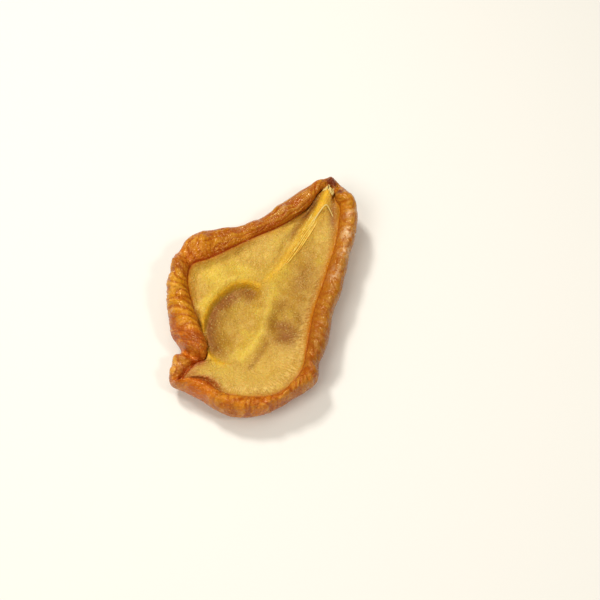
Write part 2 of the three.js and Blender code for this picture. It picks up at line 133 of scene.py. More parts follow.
RIGHT_FLOOR_END = (3, 8)  # x between which the right lobe's floor falls away from the ridge
LEDGE_RISE = 0.6  # the flesh swells along the left lobe's edge
LEDGE_WIDTH = 0.13
CORE_RIDGE = [(1.5, 1), (3.9, -3.6), (4.8, -8.2), (5.7, -12.8), (5.6, -17.7), (4.2, -21.6)]
NECK_HOLLOW = [(4.8, 28), (3, 23.3), (0, 18.5)]
STRAND_GROOVE = [(4.8, 27), (3.1, 22), (2.3, 16), (2, 9), (0.4, 3), (-0.9, -0.2)]  # along its left side
FLESH_LINES = [(CORE_RIDGE, 0.6, 2), (NECK_HOLLOW, -1, 2), (STRAND_GROOVE, -0.5, 0.9)]  # rise, width
SWELLS = [(0.22, 17, 20), (0.16, 11, 115), (0.12, 8, 65)]  # rise, length, direction in degrees
STRAND = [(7.6, 34), (7.3, 29), (6.6, 23.5), (5.7, 17.5), (4.5, 12), (3.2, 6.3), (1.4, 0.7)]
STRAND_RISE = 1.3
STRAND_FADE = 0.8  # how much of its rise is gone at the core, as a share
STRAND_WIDTH = 2.1
STRAND_TOP = 0.75  # width at the neck, as a share
STRAND_SWELL = 0.9
STRAND_TAPER = 1.2
LOOSE_FIBRE = [  # x, y and height clear of the flesh
    (6.9, 22.5, -0.2), (7.6, 25.2, 0.7), (8.6, 27.6, 1.5), (10, 27, 1.2), (11.5, 25.8, 0.4),
]
REST_SHARE = 0.25  # share of the way from the middle to the outline that lies on the table
BOWL_POWER = 2.2
# Warped as it dried, the half stands clear of the table at the neck and the shoulder.
NECK_CURL = {"rise": 2.4, "from": 8, "to": 42}
SHOULDER_CURL = {"rise": 1.4, "from": 8, "to": 27}


# Helpers on arrays

def smooth(start, end, value):
    """0 up to the start, 1 from the end on, and a soft step between."""
    t = np.clip((value - start) / (end - start), 0, 1)
    return t * t * (3 - 2 * t)


def bell(distance, width):
    """1 at no distance, falling softly to nothing."""
    return np.exp(-((distance / width) ** 2))


def lerp(a, b, share):
    return a + (b - a) * share


def nearest(line, x, y):
    """Distance to a line of points, the share of it passed there, and which side: 1 left, -1 right."""
    best = np.full(np.shape(x), np.inf)
    share = np.zeros(np.shape(x))
    side = np.ones(np.shape(x))
    for k, ((ax, ay), (bx, by)) in enumerate(zip(line, line[1:])):
        dx, dy = bx - ax, by - ay
        along = np.clip(((x - ax) * dx + (y - ay) * dy) / (dx * dx + dy * dy), 0, 1)
        distance = np.hypot(x - ax - along * dx, y - ay - along * dy)
        closer = distance < best
        best = np.where(closer, distance, best)
        share = np.where(closer, (k + along) / (len(line) - 1), share)
        side = np.where(closer, np.where(dx * (y - ay) - dy * (x - ax) > 0, 1, -1), side)
    return best, share, side


def spline(before, here, after, beyond, t):
    """Point and slope of a smooth curve, t of the way from the second of four points to the third."""
    bend = 2 * before - 5 * here + 4 * after - beyond
    twist = 3 * here - before - 3 * after + beyond
    point = (2 * here + (after - before) * t + bend * t**2 + twist * t**3) / 2
    return point, ((after - before) + 2 * bend * t + 3 * twist * t**2) / 2


# Large numbers and shifts that scatter the bits of a lattice point
FACTORS = (374761393, 668265263, 2147483647, 1442695041)
SHIFTS = [(13, 1274126177), (15, 2246822519), (16, 1)]
LATTICE_START = 4096  # keeps the lattice's numbers above 0
NEXT_SEED = 7
NOISE_GAIN = 1.6


def lattice(ix, iy, iz, seed):
    """A fixed random number from 0 to 1 for each point of a whole-number lattice."""
    mask = np.uint64(0xFFFFFFFF)
    parts = (ix, iy, iz, np.array(seed))
    h = sum(part.astype(np.uint64) * np.uint64(factor) for part, factor in zip(parts, FACTORS)) & mask
    for shift, factor in SHIFTS:
        h = ((h ^ (h >> np.uint64(shift))) * np.uint64(factor)) & mask
    return h / 2.0**32


def noise(u, v, w, seed, period=None):
    """Smooth noise, about -1 to 1, on a unit lattice. The first coordinate can repeat after a period."""
    cells = [np.floor(c).astype(np.int64) for c in (u, v, w)]
    parts = [c - i for c, i in zip((u, v, w), cells)]
    fades = [p * p * p * (p * (p * 6 - 15) + 10) for p in parts]
    total = 0
    for corner in range(8):
        step = [corner & 1, corner >> 1 & 1, corner >> 2 & 1]
        at = [i + s for i, s in zip(cells, step)]
        if period:
            at[0] = at[0] % period
        point = [i + LATTICE_START for i in at]
        turn = TAU * lattice(*point, seed)
        height = 2 * lattice(*point, seed + NEXT_SEED) - 1
        flat = np.sqrt(1 - height * height)
        slope = (np.cos(turn) * flat, np.sin(turn) * flat, height)
        value = sum(g * (p - s) for g, p, s in zip(slope, parts, step))
        weight = 1
        for f, s in zip(fades, step):
            weight = weight * (f if s else 1 - f)
        total = total + weight * value
    return NOISE_GAIN * total


def space_noise(points, size, seed):
    """Noise in space with features of a size in millimetres."""
    return noise(points[:, 0] / size, points[:, 1] / size, points[:, 2] / size, seed)


def ring_noise(turn, over, along_size, over_size, seed):
    """Noise on the roll, where turn goes from 0 to 1 round the rim and over is millimetres across it."""
    cells = round(RIM_LENGTH / along_size)
    return noise(turn * cells, over / over_size, np.zeros_like(over), seed, cells)


# The pear's surface

def rim_stations(count):
    """Columns of the rim table at equal steps round the rim, and each step's place in stations."""
    before, here, after, beyond = (np.roll(RIM, k, axis=0)[:, None] for k in (1, 0, -1, -2))
    t = (np.arange(SPLINE_STEPS) / SPLINE_STEPS)[None, :, None]
    curve = spline(before, here, after, beyond, t)[0].reshape(-1, RIM.shape[1])
    curve = np.vstack([curve, curve[:1]])
    middle = (curve[:, 0:2] + curve[:, 2:4]) / 2
    length = np.concatenate([[0], np.cumsum(np.linalg.norm(np.diff(middle, axis=0), axis=1))])
    at = length[-1] * np.arange(count) / count
    columns = np.array([np.interp(at, length, column) for column in curve.T])
    place = np.interp(at, length, np.arange(len(curve)) / SPLINE_STEPS)
    return columns, place, length[-1]


def around(place, at):
    """How far a place on the rim lies from another, in stations, the short way round."""
    return (place - at + len(RIM) / 2) % len(RIM) - len(RIM) / 2


def swelling(place):
    """How far the roll swells out, or is drawn in where negative, at a place in stations."""
    turn = TAU * place / len(RIM)
    drift = sum(np.sin(count * turn + phase) for count, phase in DRIFT_WAVES)
    share, waves, start = KNUCKLE_CALM
    calm = share * (1 - np.sin(waves * turn + start))
    swell = KNUCKLE_DEPTH * (1 - calm) * np.cos(KNUCKLE_COUNT * turn + KNUCKLE_DRIFT * drift)
    for at, depth, half in CREASES:
        swell = swell - depth * bell(around(place, at), half)
    return swell


def fold_height(turn, angle):
    """Height of the slanting folds, at a turn round the rim and an angle over the roll."""
    return sum(
        depth * np.sin(waves * turn + TAU * (phase + over * angle / math.pi))
        for depth, waves, over, phase in FOLDS
    )


def rim_point(stations, place, turn, angle):
    """Points on the roll. The angle is 0 on the widest line and a quarter turn on top."""
    outer_x, outer_y, inner_x, inner_y, edge, crest, lean, _ = stations
    width = np.hypot(outer_x - inner_x, outer_y - inner_y)
    side, up = np.cos(angle), np.sin(angle)
    top = np.maximum(up, 0)
    rise = np.where(up > 0, crest - edge, TUCK_DEPTH)
    folds = fold_height(turn, angle) * np.maximum(up, SIDE_FOLDS)
    swell = swelling(place) * lerp(SIDE_SWELL, 1, top) + folds
    across = width / 2 * (1 + side) - lean * width * top + swell * np.maximum(side, 0)
    return np.stack([
        inner_x + (outer_x - inner_x) * across / width,
        inner_y + (outer_y - inner_y) * across / width,
        edge + rise * up + swell * top,
    ], axis=-1)


def end_angle():
    """How far the roll turns over, from the widest line to the crease against the flesh."""
    *_, tuck = STATIONS
    return math.pi + np.radians(tuck)


def spread(middle, edge_x, edge_y, share):
    """The way from the middle to the rim, which runs up the neck before it turns outwards."""
    reach = NECK_SOFTNESS * np.log1p(np.exp((edge_y - middle[1]) / NECK_SOFTNESS))
    via_y = middle[1] + NECK_PULL * reach
    via_x = middle[0] + (NECK[0] - middle[0]) * smooth(middle[1], NECK[1], via_y)
    start, via = (1 - share) ** 2, share * (1 - share)
    x = middle[0] * start + via_x * via + edge_x * share
    return x, middle[1] * start + via_y * via + edge_y * share


def lobe_share(lobe, x, y):
    """Distance from a lobe's middle, as a share of its size."""
    tilt = math.radians(lobe["tilt"])
    dx, dy = x - lobe["x"], y - lobe["y"]
    across = dx * math.cos(tilt) + dy * math.sin(tilt)
    along = dy * math.cos(tilt) - dx * math.sin(tilt)
    return np.hypot(across / lobe["across"], along / lobe["along"])


def left_floor(x, y):
    """1 on the left lobe's floor, falling to 0 at the ridge beside it."""
    near = smooth(FLOOR_END_BELOW["y"], FLOOR_END_NEAR["y"], y)
    start = lerp(FLOOR_END_BELOW["from"], FLOOR_END_NEAR["from"], near)
    return 1 - smooth(start, lerp(FLOOR_END_BELOW["to"], FLOOR_END_NEAR["to"], near), x)


def strand_width(passed):
    """The strand is widest a third of the way down it, and narrowest at the core."""
    return STRAND_WIDTH * (STRAND_TOP + STRAND_SWELL * passed * (1 - STRAND_TAPER * passed))


def flesh_height(x, y, share):
    """Height of the flesh at points of the cut face, a share of the way to the rim."""
    z = lerp(FLESH_MIDDLE, FLESH_SIDE, smooth(*FLESH_CLIMB, share)) + NECK_LIFT * smooth(*NECK_CLIMB, y)
    left = lobe_share(LEFT_LOBE, x, y)
    z = z - LEFT_LOBE["depth"] * left_floor(x, y) * (1 - smooth(1 - LEFT_LOBE["soft"], 1, left))
    z = z + LEDGE_RISE * left_floor(x, y) * bell(left - 1 - LEDGE_WIDTH, LEDGE_WIDTH)
    right = lobe_share(RIGHT_LOBE, x, y)
    floor = smooth(*RIGHT_FLOOR_END, x) * (1 - smooth(1 - RIGHT_LOBE["soft"], 1, right))
    z = z - RIGHT_LOBE["depth"] * floor
    for line, rise, width in FLESH_LINES:
        z = z + rise * bell(nearest(line, x, y)[0], width)
    for rise, length, degrees in SWELLS:
        along = x * math.cos(math.radians(degrees)) + y * math.sin(math.radians(degrees))
        z = z + rise * np.sin(TAU * along / length)
    away, passed, _ = nearest(STRAND, x, y)
    return z + STRAND_RISE * (1 - STRAND_FADE * passed**2) * bell(away, strand_width(passed))


def curl(x, y):
    """How far the warp lifts a point off the table."""
    neck = NECK_CURL["rise"] * smooth(NECK_CURL["from"], NECK_CURL["to"], y)
    return neck + SHOULDER_CURL["rise"] * smooth(SHOULDER_CURL["from"], SHOULDER_CURL["to"], -x)


STATIONS, PLACE, RIM_LENGTH = rim_stations(ROUND)
ON_FLESH, ON_RIM, ON_SKIN = range(3)  # which part of the pear a point is on


class Surface:
    """Points in millimetres, faces, and for each point where on the pear it lies."""

    def __init__(self):
        self.points = []
        self.faces = []
        self.part = []  # ON_FLESH, ON_RIM or ON_SKIN
        self.turn = []  # 0 to 1 round the rim
        self.over = []  # rim: angle over the roll. Flesh and skin: share of the way to the rim.
        self.count = 0

    def add(self, points, part, turn, over):
        first = self.count
        self.points.append(points)
        self.part.append(np.full(len(points), part))
        self.turn.append(np.broadcast_to(turn, len(points)))
        self.over.append(np.broadcast_to(over, len(points)))
        self.count += len(points)
        return np.arange(first, self.count)

    def close(self):
        self.points = np.vstack(self.points)
        self.part, self.turn, self.over = (np.concatenate(c) for c in (self.part, self.turn, self.over))


def add_rim(surface):
    turn = np.arange(ROUND) / ROUND
    rows = []
    for row in range(RIM_ROWS + 1):
        angle = end_angle() * row / RIM_ROWS
        rows.append(surface.add(rim_point(STATIONS, PLACE, TAU * turn, angle), ON_RIM, turn, angle))
    for here, above in zip(rows, rows[1:]):
        surface.faces += np.stack([here, np.roll(here, -1), np.roll(above, -1), above], -1).tolist()
    return rows[0], rows[-1]


def add_cut_face(surface, edge):
    """A square grid pulled out ring by ring to the crease under the roll."""
    half = GRID // 2
    rim = np.vstack(surface.points)[edge]
    line = np.arange(-half, half + 1)
    i, j = (c.ravel() for c in np.meshgrid(line, line, indexing="ij"))
    ring = np.maximum(abs(i), abs(j))
    step = np.select(
        [ring == 0, (i == ring) & (j < ring), (j == ring) & (i > -ring), (i == -ring) & (j > -ring)],
        [0, j + ring, 3 * ring - i, 5 * ring - j],
        7 * ring + i,
    )
    place = step * half / np.maximum(ring, 1)
    whole = np.floor(place).astype(int)
    to_rim = lerp(rim[whole % ROUND], rim[(whole + 1) % ROUND], (place - whole)[:, None])
    share = ring / half
    x, y = spread(MIDDLE, to_rim[:, 0], to_rim[:, 1], share)
    z = lerp(flesh_height(x, y, share), to_rim[:, 2], smooth(TUCK_START, 1, share))
    inner = ring < half
    index = np.empty(len(ring), int)
    points = np.stack([x, y, z], -1)
    index[inner] = surface.add(points[inner], ON_FLESH, (place / ROUND)[inner], share[inner])
    index[~inner] = edge[step[~inner]]
    index = index.reshape(GRID + 1, GRID + 1)
    quads = np.stack([index[:-1, :-1], index[1:, :-1], index[1:, 1:], index[:-1, 1:]], -1)
    surface.faces += quads.reshape(-1, 4).tolist()


def add_skin(surface, edge):
    """The skin falls from the widest line to the resting spot, with half as many points to a row."""
    rim = np.vstack(surface.points)[edge][::2]
    turn = np.arange(ROUND // 2) / (ROUND // 2)
    outer = edge
    for row in range(1, SKIN_ROWS + 1):
        fall = math.cos(TAU / 4 * row / SKIN_ROWS)
        share = lerp(REST_SHARE, 1, fall)
        x, y = spread(BELLY, rim[:, 0], rim[:, 1], share)
        folds = SKIN_FOLD_SHARE * fold_height(TAU * turn, 0) * math.sin(math.pi * fall)
        z = rim[:, 2] * (1 - math.sqrt(1 - fall**BOWL_POWER)) + folds * fall
        inner = surface.add(np.stack([x, y, z], -1), ON_SKIN, turn, share)
        if row == 1:
            first, second, third = outer[::2], outer[1::2], np.roll(outer, -2)[::2]
            surface.faces += np.stack([first, inner, second], -1).tolist()
            surface.faces += np.stack([second, inner, np.roll(inner, -1), third], -1).tolist()
        else:
            surface.faces += np.stack([outer, inner, np.roll(inner, -1), np.roll(outer, -1)], -1).tolist()
        outer = inner
    surface.faces.append(outer[::-1].tolist())


# Fine relief, in millimetres along the surface's own normal

RIM_ARC = 2.8  # millimetres over the roll for each radian
SKIN_REACH = 24  # millimetres from the rim to the middle, about
# Wrinkles and pleats are rounded ridges with sharp valleys. With a height below 0 they are sharp crests.
WRINKLES = [  # height, and size along the rim and over the roll
    (0.5, 2.4, 5), (-0.42, 1.4, 3.4), (-0.26, 0.85, 1.5), (0.15, 0.5, 0.6),
]
PLEATS = [  # the same where the folds run along the rim
    (0.6, 13, 2.1), (0.3, 5, 1.1), (0.1, 1.2, 0.7),
]
CALM_STRETCHES = [  # place, half length, and how far the wrinkles are smoothed out there
    (18.8, 1.6, 0.7), (28.5, 3.5, 0.4), (32.5, 2.2, 0.3),
]
DEEP_STRETCHES = [  # the same, and how much deeper they are there
    (10.5, 2.4, 0.6), (23.4, 2.6, 0.8),
]
PLEATED_STRETCHES = [  # the same, and how far pleats replace wrinkles
    (3.4, 2.2, 1), (6, 1.6, 0.8),
]
EDGE_CALM = 0.352  # share of the wrinkles' height that is left on the widest line
RIDGE_MEAN = 0.27  # mean of the noise's size, so that the relief neither swells nor shrinks the rim
VALLEY_SHARPNESS = 4
CREST_SHARPNESS = 6
BEND = (1.3, 5, 4)  # how far wrinkles wander along the rim, over what size along it and over the roll
SLIDE = (1.1, 4, 3)  # the same over the roll
PATCHES = (0.5, 7, 6)  # how unevenly deep they are
PATCH_MEAN = 0.75
VALLEY_SHADE_FULL = 0.5  # a valley this deep has its full painted shade
CREST_FULL, CREST_HIGHLIGHT = 0.35, 0.7  # a crest this high has its full painted highlight, and how strong that is
RAISED, RAISED_HIGHLIGHT = (0.05, 0.4), 0.35  # the same painted highlight, for the relief itself
ROLL_START, ROLL_END = (-0.2, 0.3), (0.82, 1)  # shares of the roll where its wrinkles grow and flatten
NEAR_RIM = (0.6, 0.95)  # shares of the way to the rim between which its wrinkles or puckers come in
SKIN_WRINKLES = [(0.5, 4.6), (0.22, 1.9)]  # height and size
SKIN_VALLEY_SHARPNESS = 2.4
REST_CALM = 1.5  # height over the table below which they flatten
FLESH_GRAIN = [(0.2, 7), (0.16, 2.6), (0.1, 1)]  # height and size
FLESH_CALM = (0.95, 1)
PUCKERS = (0.3, 2.6, 7)  # where the flesh meets the rim: height, size along the rim and across it
FLAP = (14.3, 1.5)  # its tip's place and half length: no puckers there
GROOVE_DEPTH = 0.35  # between the strand's fibres
GROOVE_STEP = 0.72
GROOVE_GATHER = 0.5  # how far they draw together at the core, as a share
GROOVE_SWING, GROOVE_WAVES = 0.6, 9  # in radians, over the strand's length
STRAND_HALF_WIDTH = 1.7
FLESH_SEED, SKIN_SEED = 21, 31
WOOL_STRETCH = 0.2  # how much shorter the wool's texture is laid out along the fibres than across them
SKIN_COLOUR_START, GRADUAL_COLOUR_START = 0.97, 0.93  # shares of the way to the rim
SKIN_COLOUR_END = 1.01


def strongest(masks):
    """The highest of some masks at each point, or 0."""
    return np.maximum.reduce([0 * masks[0], *masks])


def stretches(place, listed):
    """The strongest of a list of stretches of the rim, at each place."""
    return strongest([strength * bell(around(place, at), half) for at, half, strength in listed])


def folded(turn, over, sizes, seed):
    """Folds of a list of sizes, and how much of a sharp valley and of a sharp crest is at each point."""
    relief, valley, crest = 0, 0, 0
    for n, (height, along, across) in enumerate(sizes):
        ridge = np.abs(ring_noise(turn, over, along, across, seed + n))
        relief = relief + height * (ridge - RIDGE_MEAN)
        valley = valley + max(height, 0) * np.clip(1 - VALLEY_SHARPNESS * ridge, 0, 1)
        crest = crest + max(-height, 0) * np.clip(1 - CREST_SHARPNESS * ridge, 0, 1)
    return relief, valley, crest


def swing(turn, over, sizes, seed):
    """Noise on the roll with a height, and a size along the rim and over the roll."""
    height, along, across = sizes
    return height * ring_noise(turn, over, along, across, seed)


def rim_relief(turn, over, place):
    """Wrinkles over the roll, and how strong their painted valley shade and ridge highlight are, 0 to 1."""
    bent = turn + swing(turn, over, BEND, seed=1) / RIM_LENGTH
    slid = over + swing(turn, over, SLIDE, seed=2)
    pleated = stretches(place, PLEATED_STRETCHES)
    wrinkles = folded(bent, slid, WRINKLES, seed=4)
    pleats = folded(bent, slid, PLEATS, seed=14)
    relief, valley, crest = (lerp(w, p, pleated) for w, p in zip(wrinkles, pleats))
    calm = 1 - stretches(place, CALM_STRETCHES)
    patchy = PATCH_MEAN + swing(turn, over, PATCHES, seed=3)
    relief = relief * calm * patchy * (1 + stretches(place, DEEP_STRETCHES))
    # painted highlight on raised relief and on sharp crests
    raised = RAISED_HIGHLIGHT * smooth(*RAISED, relief)
    sharp = CREST_HIGHLIGHT * np.clip(crest / CREST_FULL, 0, 1) * calm
    return relief, np.clip(valley / VALLEY_SHADE_FULL, 0, 1) * calm, np.maximum(raised, sharp)


def flesh_relief(points, turn, share, place):
    """Soft swells and grain, and short puckers where the flesh meets the rim."""
    grain = sum(
        height * space_noise(points, size, FLESH_SEED + n) for n, (height, size) in enumerate(FLESH_GRAIN))
    height, along, across = PUCKERS
    pucker = np.abs(ring_noise(turn, SKIN_REACH * (1 - share), along, across, seed=24)) - RIDGE_MEAN
    tip, half = FLAP
    near_rim = smooth(*NEAR_RIM, share) * (1 - bell(around(place, tip), half))
    return grain + height * near_rim * pucker


def strand_relief(x, y):
    """Grooves between the fibres of the strand."""
    away, passed, side = nearest(STRAND, x, y)
    across = side * away / (1 - GROOVE_GATHER * passed)
    weave = GROOVE_SWING * np.sin(GROOVE_WAVES * passed)
    groove = abs(np.sin(math.pi * across / GROOVE_STEP + weave)) - 0.5
    return GROOVE_DEPTH * groove * bell(away, STRAND_HALF_WIDTH) * (1 - passed**3)


def fine_relief(flat, part, turn, over, place, rolled):
    """The relief at each point, and how strong its painted valley shade and ridge highlight are, 0 to 1."""
    rim, skin = part == ON_RIM, part == ON_SKIN
    arc = np.where(rim, over * RIM_ARC, -SKIN_REACH * (1 - over))
    wrinkle, valley, ridge = rim_relief(turn, arc, place)
    sizes = [abs(space_noise(flat, size, SKIN_SEED + n)) for n, (_, size) in enumerate(SKIN_WRINKLES)]
    skin_relief = sum(height * (size - RIDGE_MEAN) for (height, _), size in zip(SKIN_WRINKLES, sizes))
    skin_valley = 1 - np.clip(SKIN_VALLEY_SHARPNESS * sizes[0], 0, 1)
    near_rim = smooth(*NEAR_RIM, over)
    soft = flesh_relief(flat, turn, over, place) + strand_relief(flat[:, 0], flat[:, 1])

    on_rim = wrinkle * smooth(*ROLL_START, rolled) * (1 - smooth(*ROLL_END, rolled))
    on_skin = lerp(skin_relief, EDGE_CALM * wrinkle, near_rim) * smooth(0, REST_CALM, flat[:, 2])
    on_flesh = soft * (1 - smooth(*FLESH_CALM, over))
    relief = np.select([rim, skin], [on_rim, on_skin], on_flesh)
    valley = np.select([rim, skin], [valley, lerp(skin_valley, valley, near_rim)], 0)
    # painted highlight also over these whole stretches
    ridge = np.maximum(ridge, stretches(place, HIGHLIGHT_STRETCHES))
    return relief, valley, np.select([rim, skin], [ridge, ridge * near_rim], 0)


def build_pear():
    surface = Surface()
    widest, crease = add_rim(surface)
    add_cut_face(surface, crease)
    add_skin(surface, widest)
    surface.close()
    points, part, turn, over = surface.points, surface.part, surface.turn, surface.over
    flat = points.copy()  # before the warp: the relief and the colours are laid out on it
    points[:, 2] += curl(points[:, 0], points[:, 1])

    mesh = bpy.data.meshes.new(NODE + "_fine")
    mesh.from_pydata((points * MM).tolist(), [], surface.faces)
    mesh.validate()
    mesh.update()
    normals = np.empty(len(points) * 3, np.float32)
    mesh.vertex_normals.foreach_get("vector", normals)

    steps = np.arange(ROUND + 1) / ROUND
    place = np.interp(turn, steps, np.append(PLACE, len(RIM)))
    end = end_angle()
    rim, flesh, skin = part == ON_RIM, part == ON_FLESH, part == ON_SKIN
    rolled = np.where(rim, over / np.interp(turn, steps, np.append(end, end[0])), 0)
    relief, valley, ridge = fine_relief(flat, part, turn, over, place, rolled)
    points += normals.reshape(-1, 3) * relief[:, None]
    points[:, 2] = np.maximum(points[:, 2], 0)
    shift = centre_shift(points)
    points += shift
    mesh.vertices.foreach_set("co", (points * MM).ravel())
    mesh.update()

    skin_start = lerp(SKIN_COLOUR_START, GRADUAL_COLOUR_START, stretches(place, GRADUAL_STRETCHES))
    store(mesh, "skin", np.where(flesh, smooth(skin_start, SKIN_COLOUR_END, over), 1.0))
    # painted shade in the wrinkles' valleys, and painted highlight on their ridges
    store(mesh, "valley", VALLEY_SHADE_STRENGTH * valley)
    store(mesh, "ridge", ridge)
    inwards = [turn * RIM_LENGTH, WOOL_STRETCH * SKIN_REACH * (1 - over), 0 * over]
    store_place(mesh, "inwards", np.stack(inwards, -1))
    paint_flesh(mesh, flat, over, place, flesh)
    paint_skin(mesh, flat, place, over, rolled, rim, skin)
    return make_object(NODE + "_fine", mesh), shift


def centre_shift(points):
    """The move, in millimetres, that puts the fine surface's outline where the solid's outline is."""
    low, high = (np.array(corner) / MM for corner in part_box(NODE))
    shift = (low + high) / 2 - (points.min(0) + points.max(0)) / 2
    shift[2] = low[2] - points[:, 2].min()
    return shift


def store(mesh, name, values):
    """A value at each point, which the materials read by name."""
    layer = mesh.attributes.new(name, "FLOAT", "POINT")
    layer.data.foreach_set("value", np.asarray(values, np.float32))


def store_place(mesh, name, points):
    """Points in millimetres that a texture is laid out by."""
    layer = mesh.attributes.new(name, "FLOAT_VECTOR", "POINT")
    layer.data.foreach_set("vector", (np.asarray(points, np.float32) * MM).ravel())


def make_object(name, mesh):
    """A smoothly shaded object in the scene."""
    for polygon in mesh.polygons:
        polygon.use_smooth = True
    made = bpy.data.objects.new(name, mesh)
    bpy.context.scene.collection.objects.link(made)
    return made


# Where the colours lie

BROWN_SPOTS = [  # x, y, half width across, half width along, strength
    (-3, -3.5, 4.5, 3, 1), (-7, -8.5, 3, 4, 0.7), (-4.5, -23, 5, 2.8, 1), (-5, -12, 6, 8, 0.38),
    (-3, -19, 4, 3, 0.4), (14, -6.5, 1.8, 4, 0.6), (13.4, 23, 1.5, 4, 0.8),
    (7.8, -4.6, 1.8, 2.4, 0.5), (10.2, -6.2, 3.4, 3.2, 0.35), (10.4, -10, 3.8, 2.3, 1),
    (10.5, 7, 4, 7, 0.5), (12.5, 0, 3, 5, 0.36),
]
MAUVE_SPOTS = [
    (-7, -9, 2.4, 4, 0.5), (12.7, -13, 4.2, 3.3, 1), (11.5, 3, 3, 7, 0.3),
]
BRIGHT_SPOTS = [
    (-12.5, -3, 4, 4, 0.9), (-7, 1, 5, 2.6, 0.7), (2.5, 2.5, 3.4, 3.5, 0.6),
    (-3.8, -10.5, 2.8, 5, 0.5), (-0.9, -28.1, 3.4, 2.4, 0.3),
]
PALE_SPOTS = [
    (3.5, -28.5, 8, 4, 1), (10, -26, 6, 4.5, 0.9), (14.2, -18, 3.4, 6, 1), (-4, 9.5, 6, 4, 0.8),
    (-9, 4, 5, 3, 0.5), (1, 15, 3, 4, 0.6), (9.5, 19, 3, 7, 0.5), (-17, -8, 2.4, 5, 0.5),
]
BROWN_LINES = [  # points, half width, strength
    ([(5.9, -5), (7.1, -8.6), (8.6, -11.6)], 1.3, 0.35),  # edge of the right lobe
    ([(5, 29), (4.4, 25.4), (3.4, 21), (2.4, 15.2)], 1, 0.5),  # painted shade in the hollow beside the strand
    ([(8.6, -16.6), (7.6, -21), (6.6, -24.4)], 0.7, 0.5),
    ([(15.9, 6), (15.6, 1), (16.2, -6)], 1.2, 0.8),  # painted shade beside the right rim
]
MAUVE_LINES = [
    ([(-6.4, -6.4), (-8.8, -12.4), (-8.2, -17), (-6.4, -21.2)], 2.4, 1),
    # these two lines: painted shade in the hollow beside the strand
    ([(5.4, 30.4), (4.8, 27), (3.9, 23.4)], 1.4, 1),
    ([(3.9, 23.4), (3.1, 19.6), (2.6, 17)], 1.1, 0.4),
    # painted shade beside the neck's right roll
    ([(9.4, 31.4), (10.9, 28.6), (12.4, 24)], 1.3, 1),
]
BRIGHT_LINES = [
    ([(6.2, -13.8), (5, -19.3), (3.1, -22.6)], 1.3, 0.9),  # streaks down the ridge of the core
    ([(4.2, -17.4), (1.4, -21.4)], 0.7, 0.5),
    ([(2.2, 2.6), (3.8, -2.4), (5, -7), (5.6, -12)], 1.7, 0.7),
]


def spots(x, y, listed):
    return strongest([
        strength * bell(np.hypot((x - at_x) / across, (y - at_y) / along), 1)
        for at_x, at_y, across, along, strength in listed
    ])


def lines(x, y, listed):
    return strongest([strength * bell(nearest(line, x, y)[0], half) for line, half, strength in listed])


GRADUAL_STRETCHES = [  # place, half length, strength: where flesh and skin run together
    (27.5, 2.2, 1), (30.5, 2.5, 1), (33, 1.5, 0.7), (10.2, 1.2, 0.4), (16, 1.2, 1),
]
CREASE_SHADE_LINES = [  # points, half width, strength: red-brown painted shade between flap and lip
    ([(-9.4, -35.4), (-8.7, -33.4), (-7.8, -30.6), (-7.1, -29.5), (-5.4, -28)], 1.2, 1),
    ([(-7.8, -33.2), (-6.4, -31.8)], 1.6, 0.7),
    ([(-7, -33.6), (-4.6, -32.5), (-1.8, -32), (1.4, -33)], 0.8, 0.8),
]
BROWN_EDGES = [  # where the flesh darkens towards the rim
    (30, 4, 1), (27.4, 1.5, 1), (10, 2, 0.5), (6.5, 1.5, 0.3), (2.5, 2, 0.8), (13, 1.2, 0.9),
    (15.5, 1.2, 1), (18.5, 2, 0.7),
]
WOOLLY_STRETCHES = [(22.5, 6, 1)]  # where short pale fibres stand towards the rim
WANDER = (1.3, 5)  # how far the edges of the colours wander, over what size
LINE_WANDER, MAUVE_WANDER = 0.5, 0.6  # shares of it for the lines
LOBE_EDGE = (0.9, 1)  # shares of the left lobe's size between which its dark colours end
LOBE_SIDE, LOBE_TOP = (1, 3), 10  # x and y from which they don't keep to it
LEDGE, LEDGE_HIGHLIGHT = (1.14, 0.16), 0.6  # painted highlight: share of the lobe's size, half width, strength
LEDGE_X, LEDGE_Y = (-5, 2), (-20, -10)  # between which it ends
CLIFF, CLIFF_LIGHT, CLIFF_X = (0.99, 0.07), 0.8, (-1, 3)  # the same: painted light on the lobe's steep side
STREAK_MEAN, STREAK_BREAKS = 0.8, (0.4, 2)  # strength, and how far it varies over what size
GOLD_WIDTH, GOLD_FADE = 0.75, 0.6  # shares: of the strand's width, and gone at the core
EDGE_SHADE = (0.8, 0.97)  # shares of the way to the rim between which the brown edges come in
LAST_SHADE, LAST_STRENGTH = (0.92, 0.98), 0.7  # and the line all along the rim
WOOL_START, WOOL_END = (0.55, 0.85), (0.9, 0.96)


def varied(points, reach, size, seed):
    """Noise in space that goes about as far as its reach to each side."""
    return reach * space_noise(points, size, seed)


